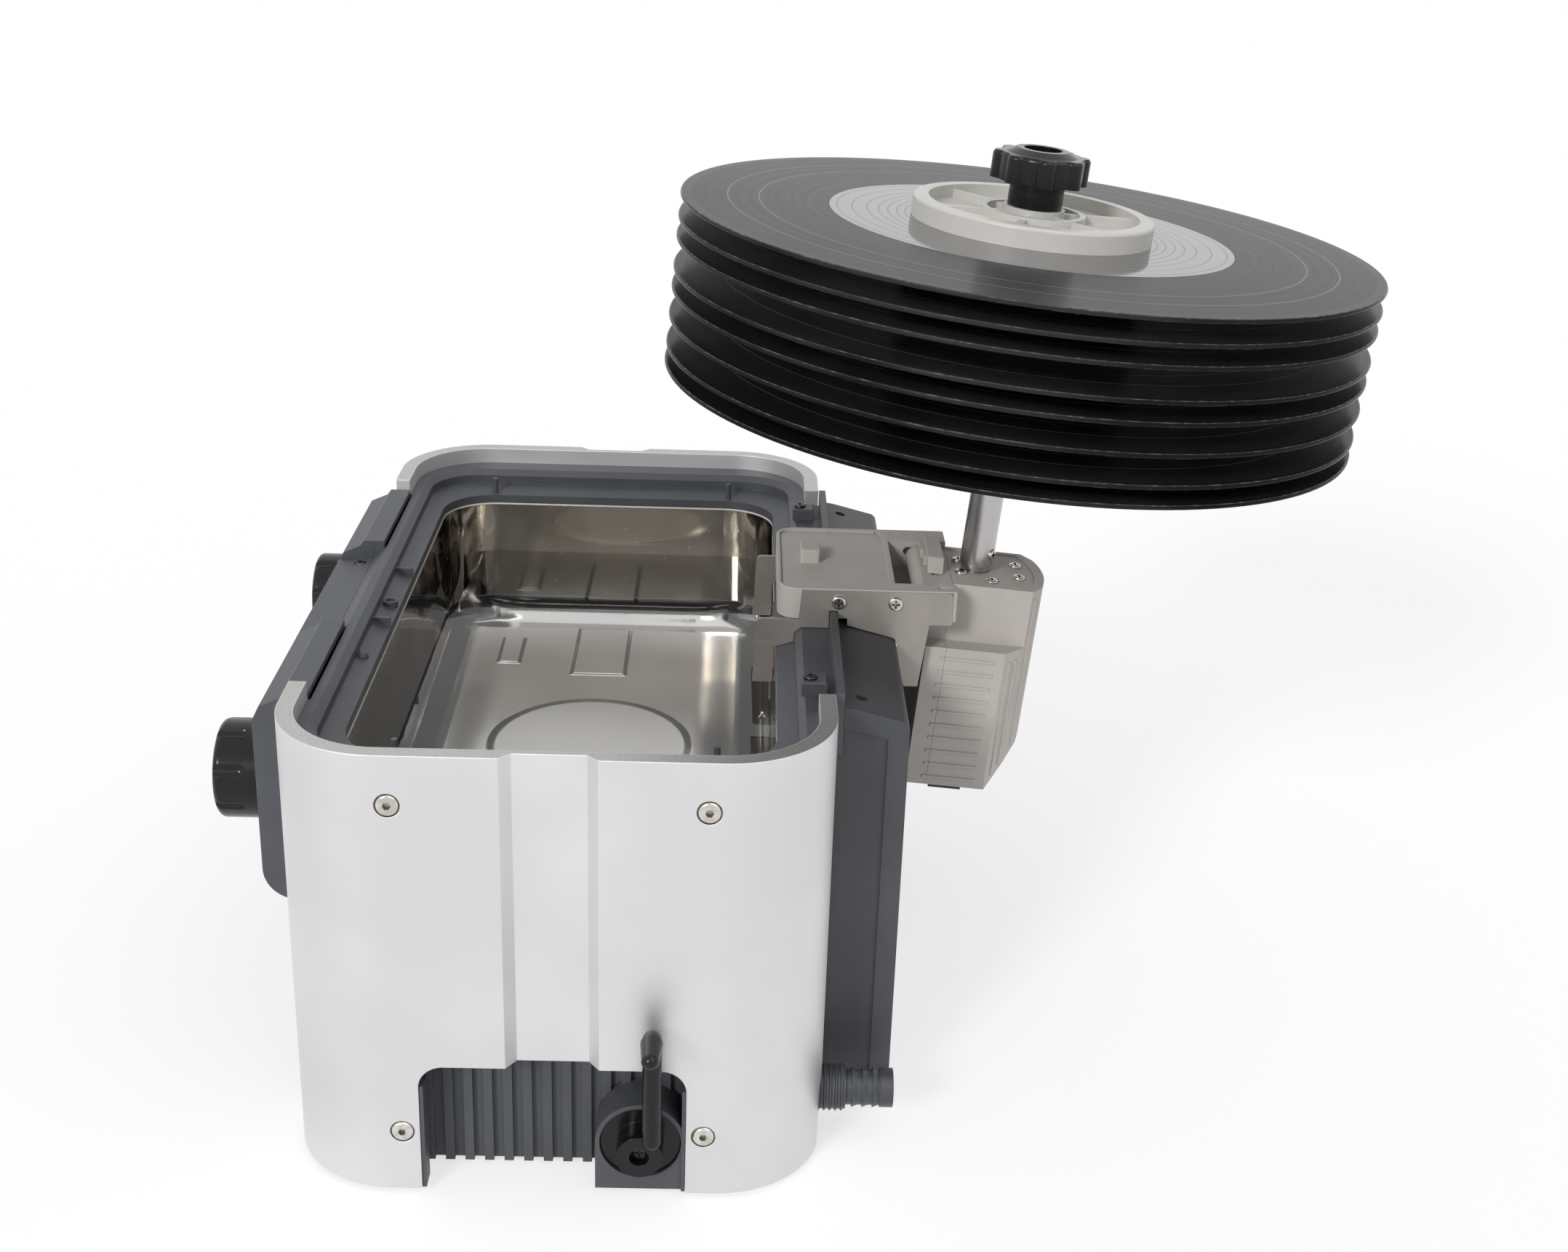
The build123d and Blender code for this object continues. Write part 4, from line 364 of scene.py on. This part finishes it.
def brushed(name, light, dark, along, rough, metal=1.0):
    """Brushed metal: fine lines along one axis and a few scratches."""
    m = Material(name)
    stretch = [30.0, 30.0, 30.0]
    stretch[along] = 1.0
    lines = m.noise(60, 3, 0.7, stretch=tuple(stretch))
    cloud = m.noise(45, 3, 0.5)
    scratch = m.noise(700, 2, 0.5, stretch=(0.05, 1, 1)).ramp(0.72, 0.74)
    colour = m.mix(cloud.ramp(0.3, 0.7) * 0.6 + lines * 0.3, dark, light)
    colour = m.mix(scratch * 0.25, colour, (0.85, 0.84, 0.82))
    return m.surface(colour, rough + 0.08 * (lines - 0.5) + 0.08 * cloud, metal,
                     m.bump(lines, 0.00001, 0.5, 0.0003))


def turned_steel():
    """The spindle's sleeve: satin steel with faint lines round it."""
    m = Material("turned_steel")
    lines = m.noise(5, 1, 0.5, stretch=(1, 1, 120))
    cloud = m.noise(30, 2, 0.5)
    colour = m.mix(lines * 0.5 + cloud * 0.5, (0.44, 0.43, 0.425), (0.52, 0.51, 0.505))
    return m.surface(colour, 0.20 + 0.05 * lines + 0.05 * cloud, 1.0,
                     m.bump(cloud, 0.00005, 0.2))


def bright_nickel(name, recess_shade):
    """Plated screws and pins, with painted shade down in their driver recesses."""
    m = Material(name)
    cloud = m.noise(260, 2, 0.5)
    spots = m.noise(1500, 2, 0.5)
    colour = m.mix(cloud.ramp(0.35, 0.7), (0.55, 0.525, 0.48), (0.70, 0.675, 0.635))
    # painted shade: the metal takes the darker recess colour where the hollows are deep
    colour = m.mix(m.hollows(0.003).ramp(0.35, 0.95), recess_shade, colour)
    return m.surface(colour, 0.14 + 0.16 * cloud, 1.0, m.bump(spots, 0.00002, 0.4))


def black_gloss(name, index=None):
    """Glossy black plastic: lever, clamp knob and control knobs. index is such a knob's y
    and its whole turn, and draws its index line at the start of that turn."""
    m = Material(name)
    dust = m.noise(1800, 2, 0.5).ramp(0.70, 0.74)
    haze = m.noise(40, 3, 0.6)
    colour = m.mix(dust * 0.3, (0.006, 0.006, 0.0065), (0.05, 0.05, 0.052))
    if index:
        knob_y, turn = index
        x, y, z = m.millimetres_from(at(0, knob_y, KNOB_Z))
        start = radians(-turn / 2)
        along = z * cos(start) - y * sin(start)
        across = y * cos(start) + z * sin(start)
        line = across.size().below(INDEX_HALF) * along.above(INDEX_START) * x.below(KNOB_FRONT)
        colour = m.mix(line, colour, (0.72, 0.72, 0.70))
    return m.surface(colour, 0.14 + 0.10 * haze + 0.2 * dust, 0.0,
                     m.bump(haze, 0.0001, 0.25, 0.0006), Specular_IOR_Level=0.32)


def vinyl():
    """Records: grooved bands, the silvery run-out land with its rings, and the bead with
    painted glints.
    """
    m = Material("vinyl")
    from_foot = m.moved(m.place(), offset=tuple(-SPINDLE_FOOT))
    x, y = m.axes(m.moved(from_foot, turn=(0, -LEAN, 0)))[:2]
    r = (x * x + y * y).root() * 1000

    # what lies where, by the distance from the centre
    land = r.below(LAND_R)
    rim = r.above(GROOVES_R)
    bead = r.above(BEAD_R) * m.level().above(0.7)
    grooved = (1 - land) * (1 - rim)
    gap = sum((r - middle).size().below(GAP_HALF) for middle in TRACK_GAPS)
    rings = sum((r - middle).size().below(RING_HALF) for middle in LAND_RINGS)

    grooves = (r * 18.0).sine()
    band = m.node("ShaderNodeTexNoise", {"noise_dimensions": "1D"}, W=r * 0.35, Scale=1.0,
                  Detail=3.0)
    dust = m.noise(1400, 2, 0.5).ramp(0.70, 0.76)
    painted_glint_spots = m.noise(300, 3, 0.6).ramp(0.45, 0.7)
    painted_sheen_patches = m.noise(9, 2, 0.5)
    track = m.mix(band.ramp(0.35, 0.7), (0.009, 0.008, 0.009), (0.015, 0.013, 0.0145))
    # painted sheen: broad lighter patches over the grooved bands
    track = m.mix(painted_sheen_patches.ramp(0.4, 0.65), track, (0.030, 0.027, 0.030))
    colour = m.mix(land, track, (0.26, 0.255, 0.265))
    # painted shade: the land's sunken rings are darker than the land
    colour = m.mix(rings * land, colour, (0.04, 0.04, 0.04))
    # painted sheen: the smooth gaps between tracks are lighter than the grooved vinyl
    colour = m.mix(gap * grooved, colour, (0.17, 0.165, 0.165))
    # painted glints: the bead's level faces are lighter, in spots
    colour = m.mix(bead * (0.25 + 0.75 * painted_glint_spots), colour, (0.15, 0.148, 0.15))
    colour = m.mix(dust * 0.14, colour, (0.30, 0.29, 0.285))
    rough = 0.15 + 0.10 * band * grooved + 0.04 * painted_sheen_patches - 0.12 * land
    height = grooves * grooved * 0.03 + (1 - rings * land) * 0.8 + gap
    return m.surface(colour, rough, land * 0.85, m.bump(height, 0.00005, 0.5, 0.0005),
                     Specular_IOR_Level=0.04)


def rubber():
    """The feet: matt black rubber."""
    m = Material("rubber")
    grain = m.noise(900, 3, 0.6)
    colour = m.mix(grain.ramp(0.4, 0.7), (0.018, 0.018, 0.018), (0.04, 0.04, 0.04))
    return m.surface(colour, 0.75 + 0.1 * grain, 0.0, m.bump(grain, 0.0001, 0.6))


def turned_brass():
    """The drain valve: brass with faint tool lines."""
    m = Material("turned_brass")
    lines = m.noise(400, 2, 0.6, stretch=(1, 0.05, 1))
    colour = m.mix(lines, (0.62, 0.46, 0.20), (0.80, 0.64, 0.32))
    return m.surface(colour, 0.28 + 0.1 * lines, 1.0, m.bump(lines, 0.00004, 0.4))


def board_green():
    """The driver board: green lacquer over copper tracks."""
    m = Material("board_green")
    x, y = m.axes(m.place())[:2]
    tracks = ((x * 1400).sine() * (y * 900).sine()).ramp(0.1, 0.2)
    colour = m.mix(tracks, (0.015, 0.09, 0.035), (0.03, 0.16, 0.07))
    return m.surface(colour, 0.45 + 0.1 * tracks, 0.0, m.bump(tracks, 0.00005, 0.5))


def silicone_mat():
    """The heater pad: red-brown silicone on a weave."""
    m = Material("silicone_mat")
    weave = m.noise(1200, 2, 0.5)
    colour = m.mix(weave, (0.40, 0.10, 0.04), (0.55, 0.16, 0.07))
    return m.surface(colour, 0.6 + 0.1 * weave, 0.0, m.bump(weave, 0.0001, 0.5))


dark_body = moulded("dark_body", (0.070, 0.074, 0.085), (0.057, 0.060, 0.070), 0.50)
rear_body = moulded("rear_body", (0.056, 0.058, 0.065), (0.045, 0.047, 0.053), 0.50)
warm_grey = moulded("warm_grey", (0.50, 0.47, 0.44), (0.46, 0.43, 0.40), 0.55)
spout_plastic = moulded("spout_plastic", (0.055, 0.058, 0.066), (0.042, 0.045, 0.052), 0.40)
black_plastic = moulded("black_plastic", (0.022, 0.023, 0.025), (0.015, 0.016, 0.018), 0.42)
cream_disc = moulded("cream_disc", (0.58, 0.57, 0.535), (0.54, 0.53, 0.50), 0.34,
                     grain_depth=0.00003)
pipe_plastic = moulded("pipe_plastic", (0.62, 0.62, 0.59), (0.56, 0.56, 0.53), 0.35)
# the tank's seal is made pale to paint the bright highlight along the tank's rim
rim_highlight_seal = moulded("rim_highlight_seal", (0.76, 0.74, 0.70), (0.68, 0.66, 0.62), 0.32)
nickel = bright_nickel("bright_nickel", (0.10, 0.095, 0.085))
shell_nickel = bright_nickel("shell_nickel", (0.27, 0.25, 0.225))
black_screw = brushed("black_screw", (0.10, 0.10, 0.10), (0.05, 0.05, 0.05), 2, 0.32)
gloss = black_gloss("black_gloss")
shell_skin = blasted_aluminium()
plate_steel = brushed("plate_steel", (0.40, 0.37, 0.34), (0.32, 0.295, 0.27), 0, 0.38,
                      metal=0.6)
motor_steel = brushed("motor_steel", (0.60, 0.60, 0.60), (0.50, 0.50, 0.50), 2, 0.35)
horn_metal = brushed("horn_metal", (0.66, 0.66, 0.66), (0.55, 0.55, 0.55), 0, 0.4)

FINISH = {
    # shells, bezel and tank
    "near_shell": shell_skin, "far_shell": shell_skin, "shell_screws": shell_nickel,
    "bezel": dark_body, "lid_hinge_blocks": dark_body, "cross_head_screws": black_screw,
    "tank": polished_tank(), "tank_gasket": rim_highlight_seal, "transducers": horn_metal,
    "heater_pad": silicone_mat(), "driver_board": board_green(),
    # cabinet, casings and drain
    "cabinet": dark_body, "base_plate": dark_body, "feet": rubber(),
    "front_casing": dark_body, "panel_cover": dark_body, "timer_switch": black_plastic,
    "thermostat": black_plastic, "rear_casing": rear_body, "mains_inlet": black_plastic,
    "switch_frame": black_plastic, "rocker": gloss,
    "time_knob": black_gloss("time_knob_black", (-KNOB_Y, TIME_TURN)),
    "temperature_knob": black_gloss("temperature_knob_black", (KNOB_Y, HEAT_TURN)),
    "drain_pipe": pipe_plastic, "valve_body": turned_brass(), "valve_housing": dark_body,
    "valve_stem": turned_brass(), "valve_ball": nickel, "drain_spout": spout_plastic,
    "drain_lever": gloss, "lever_screw": black_plastic, "lever_grip": gloss,
    # arm, spindle and records
    "bridge_cover": warm_grey, "near_hanger_plate": plate_steel,
    "far_hanger_plate": plate_steel, "plate_screws": nickel, "pivot_pin": nickel,
    "motor_housing_inner": warm_grey, "motor_housing_outer": warm_grey,
    "motor_cap": warm_grey, "motor_cap_screws": nickel, "gear_motor": motor_steel,
    "arm_power_inlet": black_plastic, "tilt_catch": warm_grey, "spindle": nickel,
    "spindle_sleeve": turned_steel(), "sleeve_screw": nickel, "support_disc": cream_disc,
    "records": vinyl(), "record_spacers": cream_disc, "clamp_disc": cream_disc,
    "clamp_knob": gloss,
}
for node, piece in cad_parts.items():
    piece.data.materials.clear()
    piece.data.materials.append(FINISH[node])


# ------------------------------------------------------------------ pieces
def finished(name, shape, material, body):
    """Turns a bmesh into a piece that rides on a body."""
    bmesh.ops.recalc_face_normals(shape, faces=shape.faces)
    mesh = bpy.data.meshes.new(name)
    shape.to_mesh(mesh)
    shape.free()
    piece = bpy.data.objects.new(name, mesh)
    bpy.context.collection.objects.link(piece)
    mesh.materials.append(material)
    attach(piece, body)
    return piece


def rounded(shape, edges, radius, segments):
    """Rounds edges of a bmesh to a radius in millimetres."""
    bmesh.ops.bevel(shape, geom=edges, offset=radius / 1000, segments=segments, profile=0.5,
                    affect="EDGES", material=-1)


def water_half(axis, z):
    """Half the width of the water along an axis at a height: the tank's, and the overlap."""
    lean = TANK_DRAFT * (TANK_TOP - z) / (TANK_TOP - TANK_FLOOR)
    return TANK_HALF[axis] - lean + WATER_OVERLAP


def make_water():
    """Water in the tank, its sides just inside the sheet so that no air shows between."""
    shape = bmesh.new()
    bmesh.ops.create_cube(shape, size=2)
    for v in shape.verts:
        z = WATER_LEVEL if v.co.z > 0 else TANK_FLOOR - WATER_OVERLAP
        v.co = at(v.co.x * water_half(0, z), v.co.y * water_half(1, z), z)
    upright = [e for e in shape.edges if abs(e.verts[0].co.z - e.verts[1].co.z) > 0.01]
    rounded(shape, upright, WATER_CORNER, 16)
    low = min(v.co.z for v in shape.verts)
    foot = [e for e in shape.edges if max(v.co.z for v in e.verts) < low + 0.0001]
    rounded(shape, foot, WATER_FOOT, 8)
    water = finished("water", shape, clear_water(), "machine")
    for face in water.data.polygons:
        face.use_smooth = abs(face.normal.z) < 0.99


def make_spout_thread():
    """The rings of the thread on the drain spout, each a spun V with a small flat crest."""
    shape = bmesh.new()
    count = int((THREAD_END - THREAD_START) / THREAD_PITCH)
    for k in range(count):
        x = THREAD_START + (k + 0.5) * THREAD_PITCH
        ring = [shape.verts.new(at(x + dx, SPOUT_Y, SPOUT_Z + THREAD_R + dr))
                for dx, dr in THREAD_SECTION]
        edges = [shape.edges.new((ring[i], ring[(i + 1) % 4])) for i in range(4)]
        bmesh.ops.spin(shape, geom=ring + edges, cent=at(x, SPOUT_Y, SPOUT_Z), axis=(1, 0, 0),
                       angle=2 * pi, steps=48, use_merge=True)
    bmesh.ops.remove_doubles(shape, verts=shape.verts, dist=0.000001)
    finished("spout_thread", shape, spout_plastic, "machine")


def add_number(shape, number, centre):
    """Adds a raised number that reads from the knobs' side."""
    letters = bpy.data.curves.new("number", "FONT")
    letters.body = number
    letters.size = NUMBER_SIZE / 1000
    letters.extrude = NUMBER_RAISED / 1000
    letters.resolution_u = 3
    letters.align_x = "CENTER"
    letters.align_y = "CENTER"
    carrier = bpy.data.objects.new("number", letters)
    mesh = bpy.data.meshes.new_from_object(carrier)
    facing_out = Matrix(((0, 0, -1), (-1, 0, 0), (0, 1, 0))).to_4x4()
    mesh.transform(Matrix.Translation(centre) @ facing_out)
    shape.from_mesh(mesh)
    bpy.data.objects.remove(carrier)
    bpy.data.curves.remove(letters)
    bpy.data.meshes.remove(mesh)


def make_scale(name, knob_y, turn, numbers):
    """Ticks round a knob, printed on the casing, with a plain number at each long one."""
    ink = moulded("scale_ink_" + name, (0.74, 0.74, 0.73), (0.66, 0.66, 0.65), 0.5)
    shape = bmesh.new()
    middle = at(INK_X, knob_y, KNOB_Z)
    steps = 2 * (len(numbers) - 1)
    for k in range(steps + 1):
        angle = radians(turn * (k / steps - 0.5))
        out = Vector((0, -sin(angle), cos(angle)))
        long = k % 2 == 0
        width, length = LONG_TICK if long else SHORT_TICK
        place = Matrix.Translation(middle + out * (TICK_R + length / 2) / 1000)
        turned = Matrix.Rotation(angle, 4, "X")
        size = Matrix.Diagonal((INK_THICKNESS / 1000, width / 1000, length / 1000, 1))
        bmesh.ops.create_cube(shape, size=1, matrix=place @ turned @ size)
        if long:
            add_number(shape, str(numbers[k // 2]), middle + out * NUMBER_R / 1000)
    finished(name, shape, ink, "machine")


make_water()
make_spout_thread()
make_scale("time_scale", -KNOB_Y, TIME_TURN, (0, 5, 10, 15, 20, 25, 30))
make_scale("temperature_scale", KNOB_Y, HEAT_TURN, (0, 30, 40, 50, 60, 70, 80))


# ------------------------------------------------------------------ studio
def sun(name, ahead, power, angle):
    """A wide soft light from far off, shining along the given direction."""
    data = bpy.data.lights.new(name, "SUN")
    data.energy = power
    data.angle = radians(angle)
    lamp = bpy.data.objects.new(name, data)
    lamp.rotation_euler = Vector(ahead).to_track_quat("-Z", "Y").to_euler()
    bpy.context.collection.objects.link(lamp)


def pale_floor():
    """Pale paper that still takes the shadow, and is nearly white where it is only seen."""
    m = Material("pale_floor")
    grain = m.noise(60, 2, 0.5)
    paper = m.node("ShaderNodeBsdfDiffuse", None,
                   m.mix(grain, (0.95, 0.95, 0.95), (0.97, 0.97, 0.97)))
    white = m.node("ShaderNodeEmission", None, (1, 1, 1), 1.05)
    both = m.node("ShaderNodeMixShader", None, m.seen_rays() * 0.65, paper, white)
    m.node("ShaderNodeOutputMaterial", None, both)
    return m.data


def make_floor():
    """A wide sheet just under the feet."""
    under_feet = Vector((0, 0, cad_box[0][2] - 0.0002))
    shape = bmesh.new()
    bmesh.ops.create_grid(shape, x_segments=1, y_segments=1, size=12)
    bmesh.ops.translate(shape, verts=shape.verts, vec=under_feet)
    mesh = bpy.data.meshes.new("floor")
    shape.to_mesh(mesh)
    shape.free()
    mesh.materials.append(pale_floor())
    floor = bpy.data.objects.new("floor", mesh)
    bpy.context.collection.objects.link(floor)


def make_sky():
    """A white world that lights softly, and is full white where it is seen."""
    world = bpy.data.worlds.new("studio")
    bpy.context.scene.world = world
    n = Nodes(world)
    strength = n.node("ShaderNodeMapRange", None, n.seen_rays(), 0.0, 1.0, 0.55, 1.0)
    sky = n.node("ShaderNodeBackground", None, (1, 1, 1), strength)
    n.node("ShaderNodeOutputWorld", None, sky)


make_floor()
make_sky()
sun("key", ahead=(0.5, 0.8, -0.5), power=1.6, angle=14)
sun("fill", ahead=(-0.7, 0.6, -1.2), power=0.6, angle=50)
bpy.context.scene.view_settings.view_transform = "Standard"
